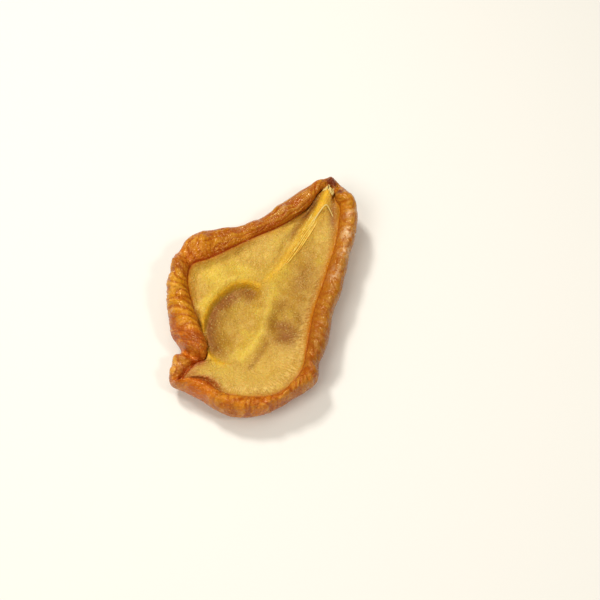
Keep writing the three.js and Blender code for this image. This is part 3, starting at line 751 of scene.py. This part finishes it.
def paint_flesh(mesh, flat, share, place, flesh):
    x, y = flat[:, 0], flat[:, 1]
    wander, drift = varied(flat, *WANDER, seed=41), varied(flat, *WANDER, seed=42)
    left, floor = lobe_share(LEFT_LOBE, x, y), left_floor(x, y)
    inside = (1 - smooth(*LOBE_EDGE, left)) * floor
    lobe_only = np.where(y < LOBE_TOP, lerp(inside, 1, smooth(*LOBE_SIDE, x)), 1)
    brown = spots(x + wander, y + drift, BROWN_SPOTS) * lobe_only
    brown_lines = lines(x + LINE_WANDER * wander, y + LINE_WANDER * drift, BROWN_LINES)
    mauve_lines = lines(x + MAUVE_WANDER * drift, y + LINE_WANDER * wander, MAUVE_LINES)
    mauve = np.maximum(mauve_lines, spots(x + drift, y + drift, MAUVE_SPOTS)) * lobe_only
    # painted highlight along the swollen ledge beside the left lobe
    at, width = LEDGE
    ledge_highlight = LEDGE_HIGHLIGHT * bell(left - at, width) * (1 - smooth(*LEDGE_X, x)) * smooth(*LEDGE_Y, y)
    # painted light: gold that lightens the left lobe's steep side against its shade
    at, width = CLIFF
    cliff_light = CLIFF_LIGHT * bell(left - at, width) * floor * (1 - smooth(*CLIFF_X, x))
    streaks = lines(x + LINE_WANDER * wander, y, BRIGHT_LINES)
    streaks = streaks * (STREAK_MEAN + varied(flat, *STREAK_BREAKS, seed=43))
    away, passed, _ = nearest(STRAND, x, y)
    golden = bell(away, GOLD_WIDTH * strand_width(passed)) * (1 - GOLD_FADE * passed)
    brown_edge = stretches(place, BROWN_EDGES) * smooth(*EDGE_SHADE, share)
    wool_band = smooth(*WOOL_START, share) * (1 - smooth(*WOOL_END, share))
    masks = {
        # brown and mauve: the tissue's own, and painted shade beside the strand and the right rim
        "brown": np.maximum(brown, brown_lines),
        "mauve": mauve,
        # yellow flesh and streaks, and the painted highlight on the ledge
        "yellow_and_painted_highlight": strongest([spots(x + drift, y + wander, BRIGHT_SPOTS), ledge_highlight, streaks]),
        "pale": spots(x + wander, y + wander, PALE_SPOTS),
        # the strand's own gold, and painted light on the lobe's steep side
        "strand": np.maximum(golden, cliff_light),
        "edge_shade": np.maximum(brown_edge, LAST_STRENGTH * smooth(*LAST_SHADE, share)),
        "woolly": stretches(place, WOOLLY_STRETCHES) * wool_band,
    }
    for name, values in masks.items():
        store(mesh, name, np.where(flesh, np.clip(values, 0, 1), 0))


RED_STRETCHES = [  # place, half length, strength
    (8.7, 0.6, 0.8), (14.3, 0.4, 1), (16.9, 0.4, 1), (13.3, 0.9, 0.8), (18.9, 1.7, 0.8),
    (22.5, 2.3, 0.7), (25.9, 0.7, 0.8), (26.8, 1.4, 0.7),
]
GOLD_STRETCHES = [
    (3.8, 1.5, 0.6), (6, 2, 0.8), (10.5, 2.4, 1), (12.5, 1, 0.8), (15.9, 1.6, 1), (21.3, 1.3, 0.8),
    (28.4, 2, 0.5), (32, 3, 0.6),
]
HIGHLIGHT_STRETCHES = [  # where more than the ridges has painted highlight
    (15.9, 1.2, 0.8), (21.3, 1.3, 0.45),
]
LIP_STRETCHES = [(18.6, 1.5, 1)]  # the smooth lower lip of the folded corner
DULL_STRETCHES = [  # where the skin is browner
    (3.2, 2.8, 0.8), (27, 3.2, 0.9), (31, 2.5, 0.7),
]
DARK_SPOTS = [  # x, y, reach, strength
    (8.2, 34.8, 1.5, 1), (6.6, 35.4, 1.2, 1), (11, 32, 1, 1), (22.8, -11.5, 4.5, 0.3),
    (24.2, -18.5, 2.5, 0.35), (-9, -24.5, 2, 0.25), (-21.4, -5.8, 2.4, 0.3),
    (19.2, 11.6, 3.6, 0.26), (20, 3.5, 4.2, 0.26), (20.8, -4, 4, 0.18), (-8.8, -23.8, 3, 0.14),
    (-14.5, 7, 3.4, 0.14),
]
GLOSSY_HIGHLIGHT_SPOTS = [  # x, y, half width across, half width along, strength: painted glossy highlights
    (16.1, 26.4, 1.3, 1.5, 0.6), (17.6, 20.8, 1.5, 1.8, 1), (18.9, 15.6, 1.4, 1.8, 1),
    (18.8, 8.6, 1.4, 2.4, 0.7), (-11.4, -31.6, 1.8, 2.2, 0.2), (-2.2, 22.4, 0.7, 1.6, 0.3),
    (-7, 15.6, 0.8, 1.6, 0.2), (-11.6, 12.4, 0.9, 1.8, 0.2),
]
RED_BREAKS, GOLD_BREAKS = (0.25, 9), (0.3, 7)  # how far they vary, over what size
RED_FALL = (0.5, 0.9)  # shares of the way to the rim between which the red comes in on the skin side
INWARD, INWARD_SHADE_STRENGTH = (0.5, 0.95), 0.5  # shares of the roll between which painted shade comes in
# strength of the painted shade in the valleys
VALLEY_SHADE_STRENGTH = 0.8
DULL_STRENGTH = 0.8
TUCKED_STRENGTH = 0.95  # the red-brown line of painted shade under the roll
TUCKED_START, TUCKED_FULL = (0.88, 0.45), (1, 0.8)  # shares of the roll, the second on the lip
TUCKED_FLESH = (0.965, 0.99)  # shares of the way to the rim between which it comes in on the flesh
TUCKED_MEAN, TUCKED_BREAKS = 0.25, (0.45, 6)  # strength there, and how far it varies over what size
TUCKED_FADE = 0.7  # share of it that is gone where flesh and skin run together
UNDERSIDE = (0.75, 1)


def paint_skin(mesh, flat, place, over, rolled, rim, skin):
    x, y = flat[:, 0], flat[:, 1]
    red = stretches(place, RED_STRETCHES) * np.where(rim, 1, smooth(*RED_FALL, over))
    gold = stretches(place, GOLD_STRETCHES)
    # the crease's red-brown painted shade runs onto the flesh, broken up
    broken = smooth(*TUCKED_FLESH, over) * (TUCKED_MEAN + varied(flat, *TUCKED_BREAKS, seed=53))
    lip = stretches(place, LIP_STRETCHES)
    # painted shade where the roll turns under into the crease
    rim_side = smooth(lerp(*TUCKED_START, lip), lerp(*TUCKED_FULL, lip), rolled)
    crease_shade = np.select([rim, skin], [rim_side, 0], broken)
    crease_shade = crease_shade * (1 - TUCKED_FADE * stretches(place, GRADUAL_STRETCHES))
    crease_shade = np.maximum(crease_shade, lines(x, y, CREASE_SHADE_LINES) * ~skin)
    dark = sum(share * bell(np.hypot(x - at_x, y - at_y), reach) for at_x, at_y, reach, share in DARK_SPOTS)
    masks = {
        "red": np.clip(red + varied(flat, *RED_BREAKS, seed=51), 0, 1),
        "gold": np.clip(gold + varied(flat, *GOLD_BREAKS, seed=52), 0, 1),
        # painted shade on the roll's inner side
        "inward_shade": np.where(rim, INWARD_SHADE_STRENGTH * smooth(*INWARD, rolled), 0),
        "crease_shade": TUCKED_STRENGTH * crease_shade,
        "dark": np.clip(dark, 0, 1),
        # painted highlights: pale glossy patches on the roll
        "glossy_highlight": np.where(rim, spots(x, y, GLOSSY_HIGHLIGHT_SPOTS), 0),
        "dull": DULL_STRENGTH * np.where(rim, stretches(place, DULL_STRETCHES), 0),
        "underside": np.where(skin, 1 - smooth(*UNDERSIDE, over), 0),
    }
    for name, values in masks.items():
        store(mesh, name, values)


# Materials

def linear(red, green, blue):
    """A colour as the eye names it, 0 to 255, in the renderer's linear light."""
    def light(value):
        value = value / 255
        return value / 12.92 if value <= 0.04045 else ((value + 0.055) / 1.055) ** 2.4
    return light(red), light(green), light(blue), 1


def set_inputs(tree, node, inputs):
    """Numbers and colours are set on the node's own sockets, and what varies is linked to them."""
    for key, value in inputs.items():
        if isinstance(value, bpy.types.NodeSocket):
            tree.links.new(value, node.inputs[key])
        else:
            node.inputs[key].default_value = value


def add(tree, kind, inputs, **settings):
    made = tree.nodes.new(kind)
    for name, value in settings.items():
        setattr(made, name, value)
    set_inputs(tree, made, inputs)
    return made


def mix(tree, factor, a, b, blend="MIX"):
    """Colours a to b by a factor."""
    made = add(tree, "ShaderNodeMix", {0: factor, 6: a, 7: b}, data_type="RGBA", blend_type=blend)
    return made.outputs[2]


def maths(tree, operation, a, b):
    return add(tree, "ShaderNodeMath", {0: a, 1: b}, operation=operation).outputs[0]


def times(tree, a, b):
    return maths(tree, "MULTIPLY", a, b)


def span(tree, value, low, high, to_low=0.0, to_high=1.0):
    """Stretches low..high to to_low..to_high, softly, and holds it there."""
    inputs = {0: value, 1: low, 2: high, 3: to_low, 4: to_high}
    return add(tree, "ShaderNodeMapRange", inputs, interpolation_type="SMOOTHSTEP").outputs[0]


def mask(tree, name):
    """A stored value."""
    return add(tree, "ShaderNodeAttribute", {}, attribute_name=name).outputs["Fac"]


def texture(tree, place, size, detail, roughness):
    """Noise with features of a size in millimetres, the detail in them and its roughness."""
    inputs = {"Vector": place, "Scale": 1 / (size * MM), "Detail": detail, "Roughness": roughness}
    return add(tree, "ShaderNodeTexNoise", inputs).outputs[0]


def cells(tree, place, size, feature="DISTANCE_TO_EDGE"):
    made = add(tree, "ShaderNodeTexVoronoi", {"Vector": place, "Scale": 1 / (size * MM)}, feature=feature)
    return made.outputs[0]


def new_material(name):
    material = bpy.data.materials.new(name)
    material.use_nodes = True
    tree = material.node_tree
    shader = tree.nodes["Principled BSDF"]
    place = add(tree, "ShaderNodeTexCoord", {}).outputs["Object"]
    return material, tree, shader, place


FLESH = linear(192, 150, 54)
FLESH_PALE = linear(210, 174, 82)
# yellow flesh, also used for the painted highlight on the ledge
FLESH_YELLOW = linear(224, 196, 78)
# brown and mauve: the tissue's own colours, also used for painted shade
FLESH_BROWN = linear(146, 90, 10)
FLESH_MAUVE = linear(150, 94, 38)
# cream of the wool and of the grains, the grains partly painted glints
FLESH_CREAM = linear(240, 204, 120)
FLESH_SHADE = linear(192, 126, 30)
# the strand's gold, also laid on the lobe's steep side as painted light
STRAND_GOLD = linear(232, 182, 34)
FIBRE_GOLD = linear(222, 166, 26)
FIBRE_LIGHT = linear(238, 197, 80)
FIBRE_STRAW = linear(228, 198, 118)
SKIN_ORANGE = linear(197, 118, 6)
SKIN_GOLD = linear(208, 144, 14)
SKIN_RED = linear(202, 98, 12)
# deep orange: random blotches, and painted shade on the roll's inner side
SKIN_DEEP = linear(188, 92, 2)
# dark red-brown painted shade for the valleys
SKIN_VALLEY_SHADE = linear(158, 62, 2)
# pale painted highlight, for ridges and glints
SKIN_HIGHLIGHT = linear(232, 168, 62)
# red-brown painted shade in the creases
SKIN_CREASE_SHADE = linear(160, 54, 6)
# pale painted highlight where the skin reflects the light
SKIN_GLOSSY_HIGHLIGHT = linear(230, 190, 146)
SKIN_DULL = linear(172, 122, 38)
SKIN_UNDER = linear(214, 150, 30)
SKIN_DARK = linear(112, 44, 18)
GLOSS_TINT = (1, 0.78, 0.5, 1)
FLOOR = linear(237, 236, 234)
LAMP_TINT = (1, 0.97, 0.88)
WORLD_TINT = (1, 0.9, 0.76, 1)

CELL_SIZE = 0.7  # of the flesh's grains and of the skin's net
BUMP_DEPTH = 0.12  # millimetres, and how far each texture stands out in it:
FINE_BUMP, WOOL_BUMP, NET_BUMP, DIMPLE_BUMP = 1.6, 0.8, 0.3, 3
WOOL_STRENGTH = 0.6


def stone_cells(tree, place):
    """Small round grains in the flesh, from 0 between them to 1 in their middles."""
    return span(tree, cells(tree, place, CELL_SIZE, "F1"), 0.42, 0.1)


def wool(tree):
    """Short fibres that run in from the rim."""
    inwards = add(tree, "ShaderNodeAttribute", {}, attribute_name="inwards").outputs["Vector"]
    return times(tree, mask(tree, "woolly"), span(tree, texture(tree, inwards, 0.55, 2, 0.6), 0.4, 0.62))


def laid_over(tree, colour, layers):
    """A colour with others laid over it, each as far as its value says. The last one is on top."""
    for factor, paint in layers:
        colour = mix(tree, factor, colour, paint)
    return colour


def flesh_colour(tree, place):
    cloud = texture(tree, place, 3.5, 4, 0.6)
    patch = texture(tree, place, 6, 3, 0.5)
    speck = texture(tree, place, 0.45, 3, 0.6)
    colour = laid_over(tree, FLESH, [
        (span(tree, cloud, 0.4, 0.7, 0, 0.75), FLESH_PALE),
        (span(tree, patch, 0.5, 0.68, 0, 0.6), FLESH_YELLOW),
        (mask(tree, "pale"), FLESH_PALE),
        # yellow flesh and streaks, and the painted highlight on the ledge
        (mask(tree, "yellow_and_painted_highlight"), FLESH_YELLOW),
        # brown and mauve, partly painted shade in the hollow and beside the rim
        (mask(tree, "brown"), FLESH_BROWN),
        (mask(tree, "mauve"), FLESH_MAUVE),
        (mask(tree, "edge_shade"), FLESH_SHADE),
        # the strand's own gold, and painted light on the lobe's steep side
        (mask(tree, "strand"), STRAND_GOLD),
        # red-brown painted shade along the crease
        (mask(tree, "crease_shade"), SKIN_CREASE_SHADE),
    ])
    darker = mix(tree, 1.0, colour, colour, "MULTIPLY")
    # pale stone-cell grains, partly painted glints
    grains = times(tree, stone_cells(tree, place), span(tree, cloud, 0.35, 0.65, 0.15, 0.5))
    return laid_over(tree, colour, [
        (span(tree, speck, 0.35, 0.65, 0, 0.34), darker),
        (times(tree, wool(tree), WOOL_STRENGTH), FLESH_CREAM),
        (grains, FLESH_CREAM),
    ])


def skin_colour(tree, place):
    cloud = texture(tree, place, 3, 4, 0.6)
    blotch = texture(tree, place, 1, 4, 0.65)
    # fine pale specks of painted glint
    glint_specks = span(tree, texture(tree, place, 0.4, 2, 0.6), 0.58, 0.68)
    return laid_over(tree, SKIN_ORANGE, [
        (mask(tree, "underside"), SKIN_UNDER),
        (mask(tree, "gold"), SKIN_GOLD),
        (mask(tree, "red"), SKIN_RED),
        # painted highlight on the wrinkles' ridges
        (times(tree, mask(tree, "ridge"), span(tree, cloud, 0.35, 0.6, 0.2, 1)), SKIN_HIGHLIGHT),
        (mask(tree, "dull"), SKIN_DULL),
        (span(tree, blotch, 0.52, 0.3, 0, 0.5), SKIN_DEEP),
        # painted shade on the roll's inner side
        (mask(tree, "inward_shade"), SKIN_DEEP),
        # painted shade in the wrinkles' valleys
        (mask(tree, "valley"), SKIN_VALLEY_SHADE),
        # red-brown painted shade along the crease
        (mask(tree, "crease_shade"), SKIN_CREASE_SHADE),
        # painted glossy highlights
        (times(tree, mask(tree, "glossy_highlight"), span(tree, blotch, 0.44, 0.56, 0.12, 1)), SKIN_GLOSSY_HIGHLIGHT),
        # painted glints, as pale specks
        (times(tree, glint_specks, span(tree, cloud, 0.35, 0.6, 0.15, 0.7)), SKIN_HIGHLIGHT),
        (mask(tree, "dark"), SKIN_DARK),
    ])


def blend(tree, factor, a, b):
    """Values a to b by a factor."""
    return add(tree, "ShaderNodeMix", {0: factor, 2: a, 3: b}, data_type="FLOAT").outputs[0]


def pear_material():
    material, tree, shader, place = new_material("dried_pear")
    is_skin = mask(tree, "skin")
    grain = times(tree, texture(tree, place, 0.5, 1.5, 0.5), FINE_BUMP)
    dimple = times(tree, texture(tree, place, 0.8, 1.2, 0.45), DIMPLE_BUMP)
    net = times(tree, span(tree, cells(tree, place, CELL_SIZE), 0, 0.25), NET_BUMP)
    flesh_bump = maths(tree, "ADD", grain, stone_cells(tree, place))
    flesh_bump = maths(tree, "ADD", flesh_bump, times(tree, wool(tree), WOOL_BUMP))
    height = blend(tree, is_skin, flesh_bump, maths(tree, "ADD", net, dimple))
    bump = add(tree, "ShaderNodeBump", {"Strength": 1.0, "Distance": BUMP_DEPTH * MM, "Height": height})
    flesh_rough = span(tree, texture(tree, place, 1.2, 2, 0.5), 0.35, 0.65, 0.3, 0.5)
    skin_rough = span(tree, texture(tree, place, 1.6, 3, 0.6), 0.35, 0.65, 0.11, 0.24)
    set_inputs(tree, shader, {
        "Base Color": mix(tree, is_skin, flesh_colour(tree, place), skin_colour(tree, place)),
        "Normal": bump.outputs[0],
        "Roughness": blend(tree, is_skin, flesh_rough, skin_rough),
        "Subsurface Weight": blend(tree, is_skin, 0.3, 0.15),
        "Subsurface Radius": (1.0, 0.45, 0.12),
        "Subsurface Scale": 0.7 * MM,
        "IOR": 1.42,
        "Specular Tint": GLOSS_TINT,
    })
    return material


def fibre_material():
    material, tree, shader, place = new_material("dried_fibre")
    streak = span(tree, texture(tree, place, 1.5, 3, 0.6), 0.35, 0.65)
    colour = laid_over(tree, FIBRE_GOLD, [(streak, FIBRE_LIGHT), (mask(tree, "straw"), FIBRE_STRAW)])
    set_inputs(tree, shader, {
        "Base Color": colour,
        "Roughness": 0.45,
        "Subsurface Weight": 0.2,
        "Subsurface Radius": (1.0, 0.6, 0.2),
        "Subsurface Scale": 0.8 * MM,
    })
    return material


# Fibres: thin tubes on the strand, fraying at the neck, with one sprung loose

FIBRE_SIDES = 8
FIBRE_STEPS = 44
FIBRE_SEED = 11
# Each fibre draws its own value between the two. Shares are of the strand's length, sizes in millimetres.
STRAND_FIBRES = 15
FIBRE_SPACING = (0.2, 0.8)  # share of its own strip of the strand
FIBRE_TOP = (0, 0.08)
FIBRE_END = (0.55, 0.97)
FIBRE_WAVES = (1, 2.5)
FIBRE_RADIUS = (0.2, 0.34)
FIBRE_WAVER = 0.18
FIBRE_GATHER = 0.55  # how far the fibres draw together at the core, as a share
FIBRE_TAPER = 0.45
FIBRE_SINK = (-0.06, 0.3)  # how deep a fibre lies in the flesh at first, and at its end
SINK_START = 0.6  # share of the fibre where it starts to sink
RIPPLE_HEIGHT, RIPPLE_WAVES, RIPPLE_SHIFT = 0.06, 2, 0.37  # the shift in turns, from fibre to fibre
STRAW_SHARES = (0.1, 0.5)  # between these it turns from straw to gold
FRAYED_FIBRES = 5
FRAYED_ROOT = (0.06, 0.2)
FRAYED_LIFT = (0.2, 0.9)
FRAYED_REACH = (2.0, 4.5)
FRAYED_JITTER = (-0.1, 0.1)  # radians
FRAYED_RADIUS = (0.12, 0.18)
FRAYED_FAN = 28  # degrees to each side
FRAYED_RISE = 1.5  # power of the curve that it rises by
FRAYED_BOW, FRAYED_TURN = 0.25, 3  # millimetres and radians
FRAYED_TAPER = 0.5
FRAYED_LIMIT = 37.6  # y of the neck's end
LOOSE_RADIUS = 0.26
HALFWAY, LOOSE_WAY = 0.5, 0.6  # shares of the way to the rim that the flesh's height is taken for


def along_line(line, share):
    """Points on a smooth curve through a line of points, and their direction in the plane."""
    line = np.asarray(line, float)
    at = np.asarray(share) * (len(line) - 1)
    k = np.clip(np.floor(at).astype(int), 0, len(line) - 2)
    t = (at - k)[:, None]
    ends = np.vstack([2 * line[0] - line[1], line, 2 * line[-1] - line[-2]])
    before, here, after, beyond = (ends[k + n] for n in range(4))
    points, slope = spline(before, here, after, beyond, t)
    return points, slope / np.linalg.norm(slope, axis=1, keepdims=True)


def tube(path, radius, first):
    """Rings of points round a path, with a point closing each end. Returns points and faces."""
    along = np.gradient(path, axis=0)
    along /= np.linalg.norm(along, axis=1, keepdims=True)
    aside = np.cross(along, (0, 0, 1))
    aside /= np.linalg.norm(aside, axis=1, keepdims=True)
    out = np.cross(aside, along)
    turn = TAU * np.arange(FIBRE_SIDES) / FIBRE_SIDES
    rings = path[:, None] + radius[:, None, None] * (
        np.cos(turn)[None, :, None] * aside[:, None] + np.sin(turn)[None, :, None] * out[:, None]
    )
    tips = np.stack([path[0] - along[0] * radius[0], path[-1] + along[-1] * radius[-1]])
    points = np.vstack([rings.reshape(-1, 3), tips])
    index = first + np.arange(len(path) * FIBRE_SIDES).reshape(len(path), FIBRE_SIDES)
    ahead = np.roll(index, -1, axis=1)
    faces = np.stack([index[:-1], index[1:], ahead[1:], ahead[:-1]], -1).reshape(-1, 4).tolist()
    start, end = first + len(points) - 2, first + len(points) - 1
    for s in range(FIBRE_SIDES):
        faces.append([start, index[0, s], ahead[0, s]])
        faces.append([end, ahead[-1, s], index[-1, s]])
    return points, faces


def fibre_paths():
    """Each fibre's path in millimetres, its thickness along the way, and how much it is like straw."""
    random = np.random.default_rng(FIBRE_SEED)
    steps = np.linspace(0, 1, FIBRE_STEPS)
    for n in range(STRAND_FIBRES):
        strip = (n + random.uniform(*FIBRE_SPACING)) / STRAND_FIBRES
        share = lerp(random.uniform(*FIBRE_TOP), random.uniform(*FIBRE_END), steps)
        middle, slope = along_line(STRAND, share)
        waver = FIBRE_WAVER * np.sin(TAU * (random.uniform(*FIBRE_WAVES) * share + random.uniform(0, 1)))
        aside = lerp(-STRAND_HALF_WIDTH, STRAND_HALF_WIDTH, strip) * (1 - FIBRE_GATHER * share) + waver
        x = middle[:, 0] + slope[:, 1] * aside
        y = middle[:, 1] - slope[:, 0] * aside
        ripple = RIPPLE_HEIGHT * np.sin(TAU * (RIPPLE_WAVES * share + n * RIPPLE_SHIFT))
        z = flesh_height(x, y, HALFWAY) - lerp(*FIBRE_SINK, smooth(SINK_START, 1, steps)) - ripple
        thick = random.uniform(*FIBRE_RADIUS) * (1 - FIBRE_TAPER * share)
        yield np.stack([x, y, z], -1), thick, 1 - smooth(*STRAW_SHARES, share)
    for n in range(FRAYED_FIBRES):
        root_share = random.uniform(*FRAYED_ROOT)
        lift = random.uniform(*FRAYED_LIFT)
        reach = random.uniform(*FRAYED_REACH)
        root, slope = along_line(STRAND, np.array([root_share]))
        fan = math.radians(lerp(-FRAYED_FAN, FRAYED_FAN, (n + 0.5) / FRAYED_FIBRES))
        turned = fan + random.uniform(*FRAYED_JITTER)
        back_x, back_y = -slope[0]
        way_x = back_x * math.cos(turned) - back_y * math.sin(turned)
        way_y = back_x * math.sin(turned) + back_y * math.cos(turned)
        bow = FRAYED_BOW * np.sin(FRAYED_TURN * steps + n)
        x = root[0, 0] + way_x * reach * steps + bow
        y = np.minimum(root[0, 1] + way_y * reach * steps, FRAYED_LIMIT)
        z = flesh_height(x, y, HALFWAY) + lift * steps**FRAYED_RISE
        thick = random.uniform(*FRAYED_RADIUS) * (1 - FRAYED_TAPER * steps)
        yield np.stack([x, y, z], -1), thick, np.ones_like(steps)
    loose, _ = along_line(LOOSE_FIBRE, steps)
    loose[:, 2] += flesh_height(loose[:, 0], loose[:, 1], LOOSE_WAY)
    yield loose, LOOSE_RADIUS * (1 - FIBRE_TAPER * steps), np.ones_like(steps)


def build_fibres(shift):
    points, faces, straw = [], [], []
    count = 0
    for path, thick, pale in fibre_paths():
        path[:, 2] += curl(path[:, 0], path[:, 1])
        more, sides = tube(path + shift, thick, count)
        points.append(more)
        faces += sides
        straw.append(np.concatenate([np.repeat(pale, FIBRE_SIDES), pale[[0, -1]]]))
        count += len(more)
    mesh = bpy.data.meshes.new("strand_fibres")
    mesh.from_pydata((np.vstack(points) * MM).tolist(), [], faces)
    mesh.validate()
    store(mesh, "straw", np.concatenate(straw))
    return make_object("strand_fibres", mesh)


# Camera, floor and light

CAMERA_PLACE = (22, 66, 279.5 * MM)  # azimuth and elevation in degrees, and distance
CAMERA_LENS, CAMERA_SENSOR, CAMERA_NEAR = 60, 36, 0.01
CAMERA_TARGET = Vector((12.14, -0.27, 8)) * MM  # the pear lies left of it, as in the photo
FLOOR_SIZE = 4  # metres
FLOOR_ROUGHNESS = 0.7
WORLD_STRENGTH = 0.22
LAMPS = [  # name, azimuth and elevation in degrees, distance and size in metres, power in watts
    ("key", 238, 58, 0.6, 0.1, 1.9),
    ("top", 180, 84, 0.6, 0.3, 0.55),
    ("gloss", 85, 56, 0.6, 0.08, 0.7),
    ("front", 335, 60, 0.6, 0.26, 1.25),
]


def look_at(target, azimuth, elevation, distance, name, data):
    """An object that looks at a point. Azimuth 0 is from -Y, and 90 from +X."""
    a, e = math.radians(azimuth), math.radians(elevation)
    back = Vector((math.sin(a) * math.cos(e), -math.cos(a) * math.cos(e), math.sin(e)))
    made = bpy.data.objects.new(name, data)
    made.location = target + back * distance
    made.rotation_euler = (-back).to_track_quat("-Z", "Y").to_euler()
    bpy.context.scene.collection.objects.link(made)
    return made


def make_camera():
    data = bpy.data.cameras.new("camera")
    data.lens, data.sensor_width, data.clip_start = CAMERA_LENS, CAMERA_SENSOR, CAMERA_NEAR
    bpy.context.scene.camera = look_at(CAMERA_TARGET, *CAMERA_PLACE, "camera", data)


def make_floor():
    bpy.ops.mesh.primitive_plane_add(size=FLOOR_SIZE)
    floor = bpy.context.object
    floor.name = "floor"
    material, tree, shader, _ = new_material("white_floor")
    set_inputs(tree, shader, {"Base Color": FLOOR, "Roughness": FLOOR_ROUGHNESS})
    floor.data.materials.append(material)


def make_lamp(name, azimuth, elevation, distance, size, power):
    data = bpy.data.lights.new(name, "AREA")
    data.energy, data.size, data.color = power, size, LAMP_TINT
    look_at(Vector(), azimuth, elevation, distance, name, data)


def make_world():
    world = bpy.data.worlds.new("studio")
    world.use_nodes = True
    background = world.node_tree.nodes["Background"]
    background.inputs["Color"].default_value = WORLD_TINT
    background.inputs["Strength"].default_value = WORLD_STRENGTH
    bpy.context.scene.world = world


make_camera()
pear, shift = build_pear()
pear.data.materials.append(pear_material())
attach(pear, BODY)
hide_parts(NODE)

fibres = build_fibres(shift)
fibres.data.materials.append(fibre_material())
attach(fibres, BODY)

make_floor()
make_world()
for lamp in LAMPS:
    make_lamp(*lamp)
bpy.context.scene.view_settings.view_transform = "Standard"
